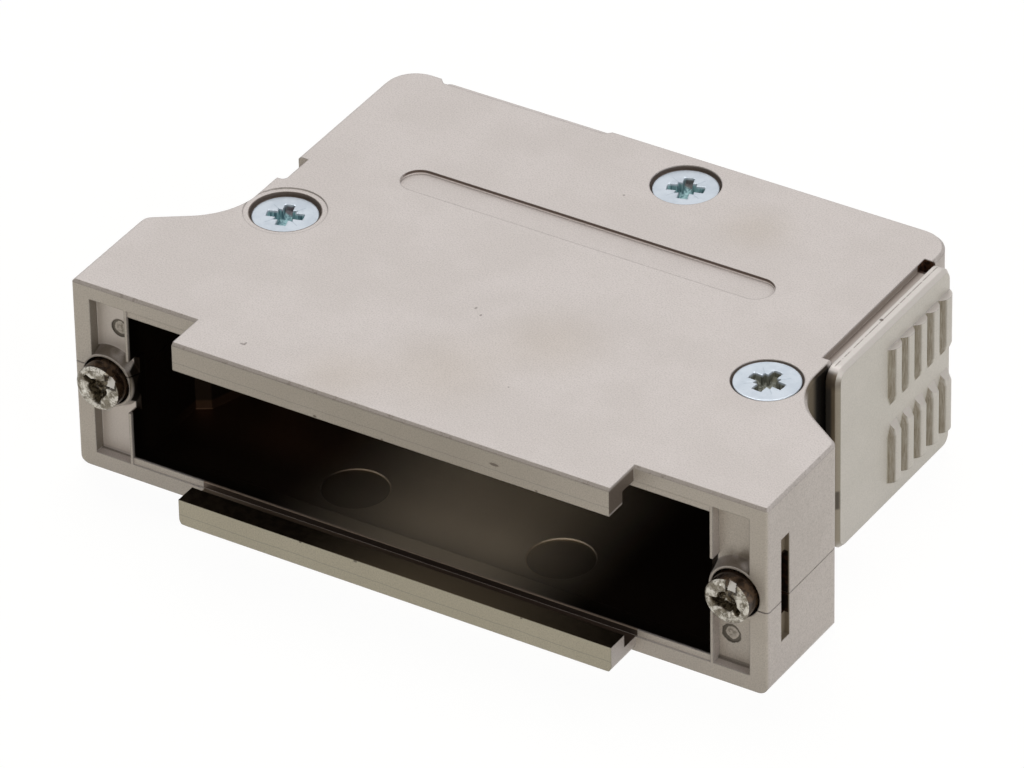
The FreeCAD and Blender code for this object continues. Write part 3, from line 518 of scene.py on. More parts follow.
WITHIN_LIPS = ("across", 21.25, 21.15)
LIP_UPWARD = (WITHIN_LIPS, ("y", 0.14, 0.10), ("up", 0.5, 0.9))
BEAD = (*LIP_UPWARD, ("z", 2.5, 2.8, 0.04))
LIT_BEAD = (("x", -11.0, 3.0), ("x", 24.0, 4.0))
LEDGE = (*LIP_UPWARD, ("z", 1.3, 1.6, 0.04))
STRIP = (WITHIN_LIPS, ("z", 1.50, 2.02, 0.03), ("y", -0.05, 0.20, 0.05))
STRIP_EDGE = (WITHIN_LIPS, ("z", 2.03, 2.12, 0.02), ("y", -0.05, 0.30, 0.05))
UPPER_LIP_END = (("x", 20.95, 21.20, 0.03), ("sideways", 0.5, 0.9), ("y", 0.05, -0.05), ("z", 15.8, 16.0),
                 ("z", 18.35, 18.0))
LIP_FACE_Y = (-3.78, -3.84)
LIP_PIT_Y = (-3.6, -3.8)
UPPER_LIP_Z = (12.0, 13.0)
LEDGE_END_X = (-20.5, -14.0)
LEDGE_MIDDLE_X = (-12.0, 12.0)
LIP_MIDDLE = (("x", -20.0, 2.0), ("x", 24.0, 6.0))
UPPER_LIP_TINT = (0.76, 0.75, 0.72)
LOWER_LIP_TINT = (0.98, 0.99, 0.87)
LIP_LINES = ((16.64, 16.67, 0.045), (1.32, 1.35, 0.045))
FAINT_LINE = (18.22, 18.24, 0.04)
LINE_SHIFT = 0.12
# Middle x, middle z, half width, half height
LIP_PITS = [(10.2, 17.08, 0.52, 0.17), (-7.1, 15.85, 0.20, 0.14), (-0.6, 15.80, 0.13, 0.10),
            (14.2, 15.82, 0.16, 0.12), (-9.0, 2.58, 0.15, 0.12), (-3.6, 2.60, 0.22, 0.12),
            (1.9, 0.12, 0.20, 0.12), (12.5, 2.60, 0.14, 0.10)]


def lines_on_lips(graph, tone):
    """Painted shade on the lips' front faces, fine parting lines along them, and small burrs and pits in
    their edges.
    """
    waver = graph.times(graph.noise(graph.stretched(graph.spot, (0.3, 0.3, 0.3)), 1.0), 0.25)
    level = graph.plus(graph.z, waver)
    face = graph.ramp(graph.y, *LIP_FACE_Y)
    upper = graph.ramp(graph.z, *UPPER_LIP_Z)
    middle = graph.plus(graph.times(graph.area(LIP_MIDDLE), 0.5), 0.45)
    # Painted shade: the upper lip's front is darker, most in the middle, the lower lip's front warmer
    tone = graph.tint(graph.times(face, upper, middle), tone, UPPER_LIP_TINT)
    tone = graph.tint(graph.times(face, graph.without(upper)), tone, LOWER_LIP_TINT)
    lines = graph.most(*(graph.band(level, *line) for line in LIP_LINES),
                       graph.times(graph.band(level, *FAINT_LINE), 0.6))
    tone = graph.mix(graph.times(lines, face, 0.40), tone, shade(SHELL_DARK, 0.35))
    for pit_x, pit_z, wide, high in LIP_PITS:
        pit = graph.ramp(graph.oval(graph.x, pit_x, wide, level, pit_z + LINE_SHIFT, high), 1.1, 0.6)
        pit = graph.times(pit, graph.ramp(graph.y, *LIP_PIT_Y))
        tone = graph.mix(graph.times(pit, 0.75), tone, srgb(84, 70, 60))
    return tone


def shade_on_lips(graph, tone):
    """Painted shade on the lower lip's bead and ledge, with a painted pool of light on them, and on the
    strip behind them and the upper lip's shaded end, with a painted highlight on the strip's top edge.

    The second value is how gloomy they are.
    """
    # Painted shade on the bead, with a painted pool of light in its middle
    bead = graph.area(BEAD)
    lit = graph.area(LIT_BEAD)
    bead_tone = graph.mix(graph.ramp(graph.mottle, 0.35, 0.65), srgb(48, 40, 31), srgb(32, 25, 18))
    tone = graph.mix(bead, tone, graph.mix(lit, bead_tone, srgb(116, 102, 82)))
    # Painted light and shade along the ledge: light at its left end, darker towards the right
    ledge_tone = graph.mix(graph.ramp(graph.x, *LEDGE_END_X), srgb(138, 124, 108), srgb(90, 76, 62))
    ledge_tone = graph.mix(graph.ramp(graph.x, *LEDGE_MIDDLE_X), ledge_tone, DARK_BROWN)
    tone = graph.mix(graph.area(LEDGE), tone, ledge_tone)
    # Painted shade on the strip behind the lower lip
    tone = graph.paint(tone, STRIP, 0.9, DARK_BROWN)
    # Painted highlight on the strip's top edge
    tone = graph.paint(tone, STRIP_EDGE, 0.8, srgb(150, 128, 108))
    # Painted shade on the upper lip's end
    tone = graph.paint(tone, UPPER_LIP_END, 0.85, srgb(88, 74, 60))
    shaded_bead = graph.times(bead, graph.without(graph.times(lit, 0.75)))
    return tone, graph.most(shaded_bead, graph.area(STRIP))


# Room inside the hood

ROOM = (("y", 0.15, 0.40), ("y", 40.6, 40.4), ("z", 17.05, 16.98), ("z", 1.10, 1.20))
ROOM_SIDE = 28.45
ROOM_SIDE_SOFT = 0.15
NECK_Y = (9.0, 14.0)
NECK_STEP = 2.3
NUT_SLOT = (("y", 2.05, 3.45, 0.04), ("across", 28.4, 33.5, 0.08), ("z", 6.3, 12.3, 0.10))
LIT_FLOOR = (("x", -16.0, 0.0), ("x", 16.5, 3.5), ("z", 2.5, 2.2))
BROWN_FLOOR = (("x", -6.0, -14.0), ("y", 5.0, 10.0), ("z", 2.5, 2.2))
LEFT_SHOULDER = (("y", 9.5, 10.4, 0.05), ("x", -26.5, -26.9), ("z", 7.0, 8.0))
MOUTH_SHADE_Y = (0.5, 7.0)
FAR_SHADE_Y = (14.0, 24.0)
WALL_SHADE_Y = (0.4, 3.0)
SLOT_RUST = (28.5, 30.5)
BOSS_RADIUS = (3.40, 3.30)
BOSS_FOOT_Z = (3.0, 9.0)
MARK_DISC = (2.95, 2.85)
MARK_RING = (2.93, 3.00, 0.05)
# Middle x, middle y, how strong the ring's painted highlight is
EJECTOR_MARKS = [(-10.1, 6.4, 0.55), (10.1, 6.4, 0.50), (21.4, 8.6, 0.10)]


def room_mask(graph):
    """1 on the walls of the room inside the hood and of the nut slots."""
    neck = graph.times(graph.ramp(graph.y, *NECK_Y), -NECK_STEP)
    between = graph.ramp(graph.across, graph.plus(neck, ROOM_SIDE),
                         graph.plus(neck, ROOM_SIDE - ROOM_SIDE_SOFT))
    return graph.most(graph.times(graph.area(ROOM), between), graph.area(NUT_SLOT))


def floor_hue(graph):
    """The room's floor from the mouth to the rear, bright between painted shade at the mouth and at the
    rear, with the ejector marks and their painted highlights.
    """
    # Painted shade at the mouth and towards the rear of the floor
    hue = graph.mix(graph.ramp(graph.y, *MOUTH_SHADE_Y), shade(ROOM_FLOOR, 0.58), ROOM_FLOOR)
    hue = graph.mix(graph.ramp(graph.y, *FAR_SHADE_Y), hue, ROOM_DEEP)
    for mark_x, mark_y, share in EJECTOR_MARKS:
        reach = graph.away(graph.x, mark_x, graph.y, mark_y)
        hue = graph.mix(graph.times(graph.ramp(reach, *MARK_DISC), 0.30), hue, ROOM_DEEP)
        # A painted highlight on each mark's ring
        ring = graph.times(graph.band(reach, *MARK_RING), share)
        hue = graph.mix(ring, hue, srgb(255, 236, 208))
    return hue


def room_hue(graph, lit):
    """The painted pool of light on the floor, painted shade near black around it, and the brown places of
    the walls.
    """
    # Painted shade: the walls turn near black
    wall_hue = graph.mix(graph.ramp(graph.y, *WALL_SHADE_Y), NEAR_BLACK, shade(ROOM_DEEP, 0.7))
    side_hue = graph.paint(wall_hue, BROWN_FLOOR, 0.4, srgb(118, 88, 66))
    # Painted pool of light on the floor
    hue = graph.mix(lit, side_hue, floor_hue(graph))
    hue = graph.mix(graph.area(LEFT_SHOULDER), hue, srgb(110, 84, 68))
    slot_rust = graph.times(graph.ramp(graph.across, *SLOT_RUST), graph.ramp(graph.mottle, 0.50, 0.62))
    hue = graph.mix(graph.times(slot_rust, 0.8), hue, srgb(86, 58, 42))
    for spot, _ in SHELL_SCREWS.values():
        boss = graph.times(graph.ramp(graph.away(graph.x, spot.x, graph.y, spot.y), *BOSS_RADIUS),
                           graph.ramp(graph.z, *BOSS_FOOT_Z))
        hue = graph.mix(boss, hue, srgb(140, 116, 94))
    return hue


# Shells and cable entry insert

def shell_metal(name):
    """The shells' casting, with the marks, stains, painted shade and painted light where the photo shows
    them.
    """
    material, graph = new_material(name, CastGraph)
    tone = bare_tone(graph, SHELL_LIGHT, SHELL_DARK, 0.55)
    direction = graph.rounded(EDGE_RADIUS)
    # Painted shade along the edges
    edge_shade = spared_ring(graph, graph.near_edges(direction))
    tone = edge_shade_and_nicks(graph, tone, edge_shade, SHELL_DARK)
    tone = beside_cover(graph, tone)
    tone = ears(graph, tone)
    tone = top_edges(graph, tone)
    tone = lines_on_lips(graph, tone)
    tone, gloomy_lips = shade_on_lips(graph, tone)
    room = room_mask(graph)
    lit = graph.area(LIT_FLOOR)
    # Painted shade and light inside the hood and in the nut slots
    tone = graph.mix(room, tone, room_hue(graph, lit))
    tone = top_flaws(graph, tone)
    gloomy_neck = graph.times(graph.area(BEHIND_EAR), graph.ramp(graph.y, *CORNER_GLOOM_Y))
    gloomy_hole = graph.times(graph.area(REAR_HOLE), 0.5)
    gloomy_room = graph.times(room, graph.without(graph.times(lit, 0.8)))
    gloomy = graph.most(gloomy_lips, gloomy_neck, gloomy_hole, gloomy_room)
    finish_casting(graph, tone, gloomy, direction)
    return material


# Plain steel

def plain_metal(name, light, dark, roughness, grain_scale, bump_depth):
    """Steel with slight clouds, fine scratches and uneven gloss."""
    material, graph = new_material(name)
    place = graph.place()
    cloud = graph.noise(place, 0.9, 3.0, 0.6)
    grain = graph.noise(place, grain_scale, 3.0, 0.65)
    tone = graph.mix(graph.ramp(cloud, 0.35, 0.68), light, dark)
    tone = graph.mix(graph.times(graph.ramp(grain, 0.5, 0.8), 0.3), tone, shade(dark, 0.7))
    gloss = graph.plus(graph.times(grain, 0.18), roughness)
    graph.finish(tone, 0.5, gloss, graph.bump(0.2, bump_depth, grain, graph.rounded(0.10)))
    return material


# Zinc plate of the shell screws

SCREW_METALLIC = 0.45
TICK_REACH = (1.2, 1.95, 0.1)
TICK_HALF_WIDTH = (0.075, 0.035)
RECESS_MIDDLE_X = (0.0, 0.6, 0.3)
RECESS_MIDDLE_REACH = (1.1, 0.7)
REAR_ARM_X = (-0.7, 0.5, 0.3)
REAR_ARM_Y = (0.95, 1.20)
FACE_SINK = (0.09, 0.05)
RECESS_SINK = (0.06, 0.26)
RECESS_REACH = (1.95, 1.85)
SIDE_SINK = (0.10, 0.22)
SIDE_REACH = (2.70, 2.80)


def striped_recess(graph, place, from_x, from_y, reach, recess_light, recess_dark, arm_tint):
    """The floor of a cross recess in painted shade: stripes, a lighter middle and a tinted rear arm."""
    stripes = graph.noise(graph.stretched(place, (1.0, 1.0, 0.08)), 4.2, 1.0, 0.5)
    hollow = graph.mix(graph.ramp(stripes, 0.38, 0.62), recess_dark, recess_light)
    middle = graph.times(graph.band(from_x, *RECESS_MIDDLE_X), graph.ramp(reach, *RECESS_MIDDLE_REACH))
    hollow = graph.mix(graph.times(middle, 0.6), hollow, recess_light)
    rear_arm = graph.times(graph.ramp(from_y, *REAR_ARM_Y), graph.band(from_x, *REAR_ARM_X))
    return graph.mix(graph.times(rear_arm, 0.85), hollow, arm_tint)


def ticks_mask(graph, from_x, from_y, turn):
    """1 on the four fine ticks between the arms of a cross recess."""
    angle = math.radians(turn + 45)
    along = graph.math("ABSOLUTE", graph.plus(graph.times(from_x, math.cos(angle)),
                                              graph.times(from_y, math.sin(angle))))
    beside = graph.math("ABSOLUTE", graph.minus(graph.times(from_y, math.cos(angle)),
                                                graph.times(from_x, math.sin(angle))))
    return graph.most(graph.times(graph.band(along, *TICK_REACH), graph.ramp(beside, *TICK_HALF_WIDTH)),
                      graph.times(graph.band(beside, *TICK_REACH), graph.ramp(along, *TICK_HALF_WIDTH)))


def sinking(graph, z, spot, sinks):
    """0 at the first depth below a spot, 1 at the second."""
    start, end = sinks
    return graph.ramp(z, spot.z - start, spot.z - end)


def shell_screw_metal(name, spot, turn, recess_light, recess_dark, arm_tint):
    """Zinc plate with a blue tint, ticks between the arms, a recess painted dark and striped as shade, and
    a side in painted shade.
    """
    material, graph = new_material(name)
    place = graph.place()
    x, y, z = graph.parts(place)
    from_x = graph.minus(x, spot.x)
    from_y = graph.minus(y, spot.y)
    reach = graph.away(x, spot.x, y, spot.y)
    cloud = graph.noise(place, 0.7, 3.0, 0.6)
    grain = graph.noise(place, 5.0, 3.0, 0.65)
    tone = graph.mix(graph.ramp(cloud, 0.35, 0.68), srgb(205, 213, 222), srgb(192, 201, 211))
    tone = graph.mix(graph.times(graph.ramp(grain, 0.5, 0.8), 0.35), tone, srgb(176, 190, 198))
    ticks = graph.times(ticks_mask(graph, from_x, from_y, turn), sinking(graph, z, spot, FACE_SINK))
    tone = graph.mix(graph.times(ticks, 0.30), tone, srgb(136, 152, 166))
    # Painted shade: the sunk recess is painted darker than the face
    sunk = graph.times(sinking(graph, z, spot, RECESS_SINK), graph.ramp(reach, *RECESS_REACH))
    tone = graph.mix(sunk, tone, striped_recess(graph, place, from_x, from_y, reach, recess_light,
                                                recess_dark, arm_tint))
    # Painted shade on the head's side
    side = graph.times(sinking(graph, z, spot, SIDE_SINK), graph.ramp(reach, *SIDE_REACH))
    tone = graph.mix(graph.times(side, 0.85), tone, srgb(50, 46, 44))
    gloss = graph.plus(graph.times(grain, 0.18), graph.plus(graph.times(sunk, 0.30), 0.26))
    graph.finish(tone, SCREW_METALLIC, gloss, graph.bump(0.12, 0.02, grain, graph.rounded(0.05)))
    return material


# Nickel plate of the flange screws

FACE_ONWARD = (-0.15, -0.55)
SLOPE_SINK = (0.03, 0.14)
SLOPE_REACH = (1.72, 1.62)
HOLLOW_SINK = (0.14, 0.34)
HOLLOW_REACH = (1.80, 1.70)
NEAR_FACE_SINK = (0.95, 0.85)
GLINT_SINK = (1.0, 0.8)
NOTCH_X = (-0.52, 0.55, 0.06)
NOTCH_Z = (-0.68, 0.62, 0.06)
BRIGHT_X = (-0.38, 0.38, 0.05)
BRIGHT_Z = (-0.50, 0.46, 0.05)


def facet_masks(graph, x, z, spot, facet):
    """1 in the notch around a bright facet near the head's rim, and 1 on the facet itself."""
    turn, radius = facet
    off_x = graph.minus(x, spot.x + radius * math.cos(math.radians(turn)))
    off_z = graph.minus(z, spot.z + radius * math.sin(math.radians(turn)))
    notch = graph.times(graph.band(off_x, *NOTCH_X), graph.band(off_z, *NOTCH_Z))
    bright = graph.times(graph.band(off_x, *BRIGHT_X), graph.band(off_z, *BRIGHT_Z))
    return notch, bright


def flange_screw_metal(name, spot, facet, glints):
    """Nickel plate: bright lobes on the face, a brown mottled recess in painted shade, a side painted dark
    brown as a reflection, a facet in painted light and painted glints.
    """
    material, graph = new_material(name)
    place = graph.place()
    x, y, z = graph.parts(place)
    onward = graph.facing()["Y"]
    sunk = graph.minus(y, spot.y)
    reach = graph.away(x, spot.x, z, spot.z)
    cloud = graph.noise(place, 1.3, 3.0, 0.6)
    mottle = graph.noise(place, 2.8, 3.0, 0.6)
    veins = graph.band(graph.noise(place, 1.9, 2.0, 0.6), 0.49, 0.52, 0.03)
    face = graph.mix(graph.ramp(cloud, 0.40, 0.60), srgb(224, 219, 209), srgb(134, 126, 111))
    face = graph.mix(graph.times(veins, 0.6), face, srgb(84, 74, 57))
    # Painted reflection: the head's side is painted dark brown
    side = graph.mix(graph.ramp(cloud, 0.42, 0.60), srgb(52, 38, 28), srgb(92, 72, 54))
    front = graph.ramp(onward, *FACE_ONWARD)
    tone = graph.mix(front, side, face)
    # Painted shade on the slope into the recess, in the recess and in the notch around the facet
    slope = graph.times(front, graph.ramp(sunk, *SLOPE_SINK), graph.ramp(reach, *SLOPE_REACH))
    tone = graph.mix(graph.times(slope, 0.6), tone, srgb(120, 110, 92))
    hollow = graph.times(graph.ramp(sunk, *HOLLOW_SINK), graph.ramp(reach, *HOLLOW_REACH))
    hollow_tone = graph.mix(graph.ramp(mottle, 0.42, 0.60), srgb(50, 41, 28), srgb(122, 111, 91))
    tone = graph.mix(hollow, tone, hollow_tone)
    near_face = graph.times(front, graph.ramp(sunk, *NEAR_FACE_SINK))
    notch, bright = facet_masks(graph, x, z, spot, facet)
    tone = graph.mix(graph.times(notch, near_face, 0.85), tone, srgb(52, 43, 32))
    # Painted light on the slanted facet
    tone = graph.mix(graph.times(bright, near_face), tone, srgb(214, 209, 202))
    # Painted highlights: small white glints on the face
    for glint_x, glint_z, size in glints:
        point = graph.away(x, spot.x + glint_x, z, spot.z + glint_z)
        glint = graph.times(graph.ramp(point, size, size / 2), graph.ramp(sunk, *GLINT_SINK))
        tone = graph.mix(glint, tone, srgb(250, 248, 240))
    gloss = graph.plus(graph.times(mottle, 0.22), 0.12)
    graph.finish(tone, SCREW_METALLIC, gloss, graph.bump(0.3, 0.05, mottle, graph.rounded(0.06)))
    return material


# Materials of the solids

casting = shell_metal("cast_zinc")
cover_casting = cover_metal("cast_zinc_cover")
dark_steel = plain_metal("dark_steel", srgb(46, 42, 38), srgb(30, 27, 24), 0.45, 4.0, 0.03)
clamp_steel = plain_metal("clamp_steel", srgb(176, 172, 166), srgb(150, 146, 140), 0.34, 4.0, 0.03)
zinc = plain_metal("zinc_plate", srgb(212, 220, 231), srgb(190, 200, 212), 0.26, 5.0, 0.02)

for node in ("top_shell", "bottom_shell", "cable_entry_insert"):
    set_material(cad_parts[node], casting)
set_material(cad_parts["side_entry_cover"], cover_casting)
for node in ("nut_plate_left", "nut_plate_right"):
    set_material(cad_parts[node], dark_steel)
set_material(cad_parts["cable_clamp_bar"], clamp_steel)
for node in ("clamp_screw_left", "clamp_screw_right"):
    set_material(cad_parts[node], zinc)


# Turned pieces, with lengths in millimetres

SECTORS = 128
SHARP_TURN = math.radians(38)
LEVELS_PER_PITCH = 7
TIP_PITCHES = 0.7
TIP_GROOVE_SHARE = 0.4
TIP_RADIUS_SHARE = 0.72


def smooth(value, low, high):
    share = min(max((value - low) / (high - low), 0.0), 1.0)
    return share * share * (3 - 2 * share)


def turned_points(face_radius, face_rings, depth_at, side, pitch):
    """Points of a face disc with a recess, then of side rings whose grooves climb by the pitch.

    A side ring is its radius, its level and how deep its groove is.
    """
    points = [Vector((0, 0, -depth_at(0.0, 0.0)))]
    headings = [2 * math.pi * sector / SECTORS for sector in range(SECTORS)]
    for ring in range(1, face_rings + 1):
        radius = face_radius * ring / face_rings
        for heading in headings:
            x = radius * math.cos(heading)
            y = radius * math.sin(heading)
            points.append(Vector((x, y, -depth_at(x, y))))
    for radius, level, groove in side:
        for sector, heading in enumerate(headings):
            phase = (level / pitch + sector / SECTORS) % 1.0
            reach = radius - groove * abs(2 * phase - 1)
            points.append(Vector((reach * math.cos(heading), reach * math.sin(heading), level)))
    return points


def turned_faces(rings):
    """Faces from the middle point over all the rings to a closed end."""
    faces = [(0, 1 + sector, 1 + (sector + 1) % SECTORS) for sector in range(SECTORS)]
    for ring in range(rings - 1):
        inner = 1 + ring * SECTORS
        outer = inner + SECTORS
        for sector in range(SECTORS):
            after = (sector + 1) % SECTORS
            faces.append((inner + sector, outer + sector, outer + after, inner + after))
    last = 1 + (rings - 1) * SECTORS
    faces.append([last + sector for sector in reversed(range(SECTORS))])
    return faces


def turned_piece(name, spot, facing, face_radius, face_rings, depth_at, side, pitch, material):
    """A round piece whose face looks along the turned z axis, with its middle at the spot."""
    points = turned_points(face_radius, face_rings, depth_at, side, pitch)
    mesh = bpy.data.meshes.new(name)
    mesh.from_pydata([(facing @ point + spot) * MM for point in points], [],
                     turned_faces(face_rings + len(side)))
    mesh.polygons.foreach_set("use_smooth", [True] * len(mesh.polygons))
    mesh.set_sharp_from_angle(angle=SHARP_TURN)
    item = bpy.data.objects.new(name, mesh)
    bpy.context.scene.collection.objects.link(item)
    set_material(item, material)
    return item


def threaded_side(radius, start, end, pitch, groove):
    """Rings of a threaded shank from start down to end, with a tapered tip."""
    rings = []
    level = start
    while level > end + pitch:
        rings.append((radius, level, groove))
        level -= pitch / LEVELS_PER_PITCH
    rings.append((radius, end + pitch * TIP_PITCHES, groove * TIP_GROOVE_SHARE))
    rings.append((radius * TIP_RADIUS_SHARE, end, 0.0))
    return rings


# Shell screws

ARM_REACH = 1.60
ARM_HALF = 0.43
NOTCH_HALF = 0.72
NOTCH_REACH = 1.18
CROSS_DEPTH = 1.05
CROSS_RISE = 0.55
CROSS_RISE_REACH = (0.4, 1.7)
CROSS_WALL = (-0.02, 0.07)
TICK_DEPTH = 0.006
TICK_HALF = 0.05
TICK_START = 1.25
TICK_END = 1.75

HEAD_RADIUS = 2.88
HEAD_FACE = 2.81
HEAD_RIM = 0.3
HEAD_ROUNDING = ((0.02, 0.03), (0.0, 0.08))
SHELL_SHANK = 1.5
SHELL_LENGTH = 13.5
SHELL_PLAIN_SHANK = 0.8
SHELL_PITCH = 1.0
SHELL_GROOVE = 0.22
SHELL_FACE_RINGS = 46
# Light and dark stripe of the recess's painted shade, and the tint of its rear arm
SHELL_LOOKS = {
    "shell_screw_left": (srgb(158, 192, 196), srgb(92, 124, 134), srgb(112, 94, 98)),
    "shell_screw_right": (srgb(150, 151, 140), srgb(92, 92, 82), srgb(112, 110, 94)),
    "shell_screw_rear": (srgb(164, 196, 198), srgb(98, 130, 136), srgb(104, 90, 88)),
}


def cross_depth(turn):
    """A four-armed recess with pointed notches and fine ticks between its arms."""
    angle = math.radians(turn)

    def depth_at(x, y):
        along = x * math.cos(angle) + y * math.sin(angle)
        beside = y * math.cos(angle) - x * math.sin(angle)
        arms = min(max(abs(along) - ARM_REACH, abs(beside) - ARM_HALF),
                   max(abs(beside) - ARM_REACH, abs(along) - ARM_HALF))
        near, far = sorted((abs(along + beside) / math.sqrt(2), abs(along - beside) / math.sqrt(2)))
        notch = near - NOTCH_HALF * (1 - far / NOTCH_REACH)
        inside = smooth(-min(arms, notch), *CROSS_WALL)
        floor = CROSS_DEPTH - CROSS_RISE * smooth(math.hypot(x, y), *CROSS_RISE_REACH)
        tick = TICK_DEPTH if near < TICK_HALF and TICK_START < far < TICK_END else 0.0
        return max(floor * inside, tick)

    return depth_at


for node, (spot, turn) in SHELL_SCREWS.items():
    cone_end = -HEAD_RIM - (HEAD_RADIUS - SHELL_SHANK)
    side = [(HEAD_RADIUS - inward, -down, 0.0) for inward, down in HEAD_ROUNDING]
    side += [(HEAD_RADIUS, -HEAD_RIM, 0.0), (SHELL_SHANK, cone_end, 0.0)]
    side += threaded_side(SHELL_SHANK, cone_end - SHELL_PLAIN_SHANK, -SHELL_LENGTH, SHELL_PITCH,
                          SHELL_GROOVE)
    metal = shell_screw_metal("zinc_" + node, spot, turn, *SHELL_LOOKS[node])
    piece = turned_piece(node + "_detailed", spot, Matrix.Identity(3), HEAD_FACE, SHELL_FACE_RINGS,
                         cross_depth(turn), side, SHELL_PITCH, metal)
    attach(piece, "hood")
    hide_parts(node)


# Flange screws

CORE_REACH = 0.92
LOBE_DEPTH = 0.95
LOBE_WALL = (-0.10, 0.30)
RIPPLE = 0.05
RIM_DROP = 0.14
RIM_REACH = (1.80, 2.10)
GROOVE_REACH = 1.62
GROOVE_HALF = 0.09
GROOVE_WALL = (0.0, 0.08)
GROOVE_DEPTH = 0.10
FACET_HALF = 0.42
FACET_LOW = -0.55
FACET_HIGH = 0.52
FACET_DEPTH = 0.10
FACET_SLOPE = 0.55

FLANGE_HEAD = 2.1
FLANGE_FACE = 2.08
FLANGE_HEAD_EDGE = 0.26
FLANGE_HEAD_LENGTH = 3.05
FLANGE_SHANK = 1.42
FLANGE_LENGTH = 10.25
FLANGE_PLAIN_SHANK = 0.5
FLANGE_PITCH = 0.7
FLANGE_GROOVE = 0.16
FLANGE_FACE_RINGS = 40
FLANGE_BODIES = {"flange_screw_left": "left_screw", "flange_screw_right": "right_screw"}
FLANGE_LOOKS = {
    "flange_screw_left": {
        "arms": [(38, 1.35, 0.36), (146, 1.50, 0.33), (266, 1.50, 0.40)],
        "facet": (38, 1.72),
        "groove": (60, 165),
        "glints": [(-1.22, -0.62, 0.16), (0.12, -1.42, 0.14)]},
    "flange_screw_right": {
        "arms": [(75, 1.40, 0.36), (199, 1.50, 0.42), (322, 1.45, 0.33)],
        "facet": (75, 1.72),
        "groove": (-30, 60),
        "glints": [(-0.52, 1.52, 0.12), (-0.52, -0.42, 0.13), (0.08, -0.42, 0.12)]},
}


def lobed_depth(arms, facet, groove):
    """A recess of three arms with wear on it, one of them ending in a slanted facet near the rim.

    An arm is its heading, length and half width, the facet its heading and distance from the middle, and
    the groove the two headings that it runs between.
    """
    facet_turn, facet_reach = facet
    facet_x = facet_reach * math.cos(math.radians(facet_turn))
    facet_y = facet_reach * math.sin(math.radians(facet_turn))
    groove_start, groove_end = groove

    def depth_at(x, y):
        off_x, off_y = x - facet_x, y - facet_y
        if abs(off_x) < FACET_HALF and FACET_LOW < off_y < FACET_HIGH:
            return FACET_DEPTH + FACET_SLOPE * (off_y - FACET_LOW)
        reach = math.hypot(x, y)
        heading = math.degrees(math.atan2(y, x)) % 360
        nearest = reach - CORE_REACH
        for turn, length, half in arms:
            angle = math.radians(turn)
            along = x * math.cos(angle) + y * math.sin(angle)
            beside = abs(y * math.cos(angle) - x * math.sin(angle))
            nearest = min(nearest, max(along - length, -along, beside - half))
        ripple = RIPPLE * math.sin(5 * x + 3 * y) * math.cos(4 * y - 2 * x)
        rim = RIM_DROP * smooth(reach, *RIM_REACH) ** 2
        if groove_start < heading < groove_end:
            rim += GROOVE_DEPTH * smooth(GROOVE_HALF - abs(reach - GROOVE_REACH), *GROOVE_WALL)
        return max(LOBE_DEPTH * smooth(-nearest + ripple, *LOBE_WALL), rim)

    return depth_at


for node, spot in FLANGE_SCREWS.items():
    look = FLANGE_LOOKS[node]
    side = [(FLANGE_HEAD, -FLANGE_HEAD_EDGE, 0.0), (FLANGE_HEAD, -FLANGE_HEAD_LENGTH, 0.0),
            (FLANGE_SHANK, -FLANGE_HEAD_LENGTH, 0.0)]
    side += threaded_side(FLANGE_SHANK, -FLANGE_HEAD_LENGTH - FLANGE_PLAIN_SHANK, -FLANGE_LENGTH,
                          FLANGE_PITCH, FLANGE_GROOVE)
    metal = flange_screw_metal("nickel_" + node, spot, look["facet"], look["glints"])
    recess = lobed_depth(look["arms"], look["facet"], look["groove"])
    facing = Matrix.Rotation(math.radians(90), 3, "X")
    piece = turned_piece(node + "_detailed", spot, facing, FLANGE_FACE, FLANGE_FACE_RINGS, recess,
                         side, FLANGE_PITCH, metal)
    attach(piece, FLANGE_BODIES[node])
    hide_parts(node)


# Camera

CAMERA_PLACE = Vector((337.99, -520.56, 439.24)) * MM
CAMERA_HEADING = math.radians(32.2418)
CAMERA_TILT = math.radians(34.1020)
CAMERA_ROLL = math.radians(1.1973)
CAMERA_LENS = 322.283

camera_data = bpy.data.cameras.new("camera")
camera_data.sensor_width = 36.0
camera_data.lens = CAMERA_LENS
camera_data.clip_start = 0.01
camera_data.clip_end = 10.0
camera = bpy.data.objects.new("camera", camera_data)
bpy.context.scene.collection.objects.link(camera)
camera.matrix_world = (Matrix.Translation(CAMERA_PLACE)
                       @ Matrix.Rotation(CAMERA_HEADING, 4, "Z")
                       @ Matrix.Rotation(math.radians(90) - CAMERA_TILT, 4, "X")
                       @ Matrix.Rotation(-CAMERA_ROLL, 4, "Z"))
bpy.context.scene.camera = camera


# Light

AIM = (0, 0.02, 0)
BACKDROP_LIGHT = 0.18


def area_lamp(name, place, width, power, color=(1, 1, 1)):
    lamp = bpy.data.lights.new(name, "AREA")
    lamp.shape = "DISK"
    lamp.size = width
    lamp.energy = power
    lamp.color = color
    item = bpy.data.objects.new(name, lamp)
    item.location = place
    item.rotation_euler = (Vector(AIM) - Vector(place)).to_track_quat("-Z", "Y").to_euler()
    bpy.context.scene.collection.objects.link(item)


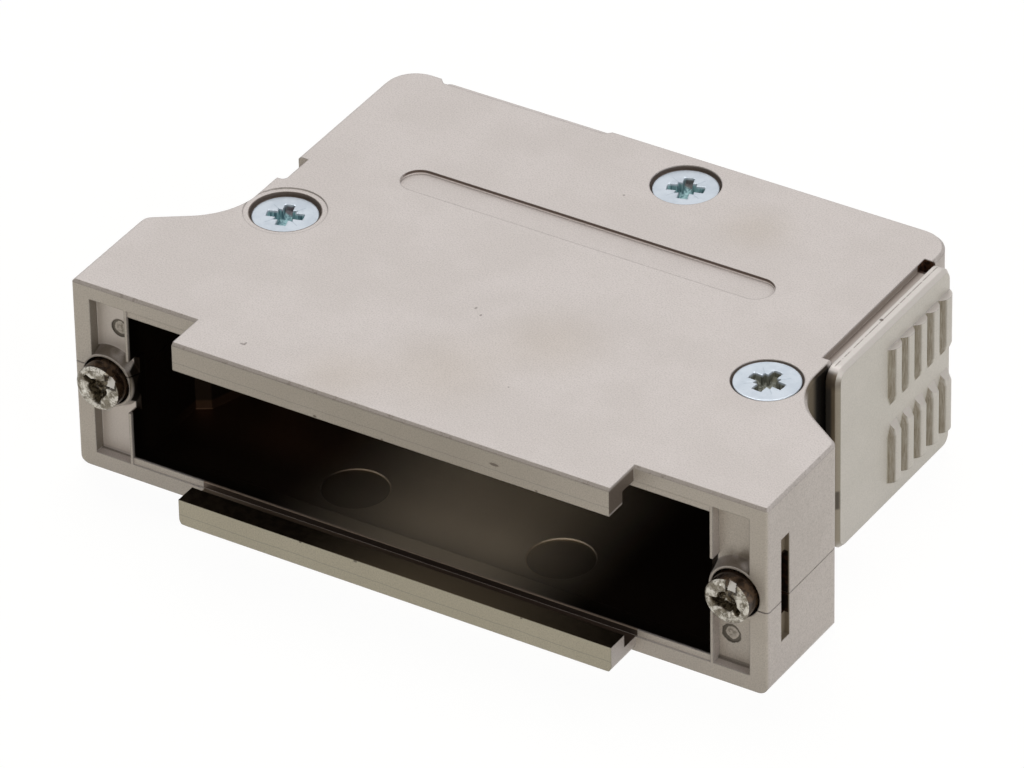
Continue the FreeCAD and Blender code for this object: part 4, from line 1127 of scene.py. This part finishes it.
def show_white(graph, share):
    """1 for what the camera and shiny or clear surfaces see, times a share."""
    path = graph.node("ShaderNodeLightPath")
    seen = graph.most(path.outputs["Is Camera Ray"], path.outputs["Is Glossy Ray"],
                      path.outputs["Is Transmission Ray"])
    return graph.times(seen, share)


area_lamp("key", (-0.20, 0.30, 0.80), width=0.50, power=3.1)
area_lamp("fill", (0.70, -0.10, 0.50), width=0.50, power=1.6)
area_lamp("front", (0.15, -0.80, 0.30), width=0.40, power=0.55, color=(1.0, 0.93, 0.80))

world = bpy.data.worlds.new("studio")
world.use_nodes = True
bpy.context.scene.world = world
graph = Graph(world.node_tree)
strength = graph.plus(show_white(graph, 1 - BACKDROP_LIGHT), BACKDROP_LIGHT)
background = graph.node("ShaderNodeBackground", {"Color": WHITE, "Strength": strength})
graph.node("ShaderNodeOutputWorld", {"Surface": background.outputs[0]})


# Floor

FLOOR_HALF = 1.2
FLOOR_DROP = 0.02 * MM
FLOOR_TONE = (0.80, 0.76, 0.63, 1)
FLOOR_GLOW = 1.06
FLOOR_GLOW_SHARE = 0.90

floor_mesh = bpy.data.meshes.new("floor")
floor_mesh.from_pydata([(-FLOOR_HALF, -FLOOR_HALF, 0), (FLOOR_HALF, -FLOOR_HALF, 0),
                        (FLOOR_HALF, FLOOR_HALF, 0), (-FLOOR_HALF, FLOOR_HALF, 0)], [], [(0, 1, 2, 3)])
floor = bpy.data.objects.new("floor", floor_mesh)
floor.location.z = -FLOOR_DROP
bpy.context.scene.collection.objects.link(floor)
floor_material, graph = new_material("floor")
diffuse = graph.node("ShaderNodeBsdfDiffuse", {"Color": FLOOR_TONE})
glow = graph.node("ShaderNodeEmission", {"Color": WHITE, "Strength": FLOOR_GLOW})
mixed = graph.node("ShaderNodeMixShader", {0: show_white(graph, FLOOR_GLOW_SHARE), 1: diffuse.outputs[0],
                                           2: glow.outputs[0]})
graph.node("ShaderNodeOutputMaterial", {"Surface": mixed.outputs[0]})
set_material(floor, floor_material)

bpy.context.scene.view_settings.view_transform = "Standard"
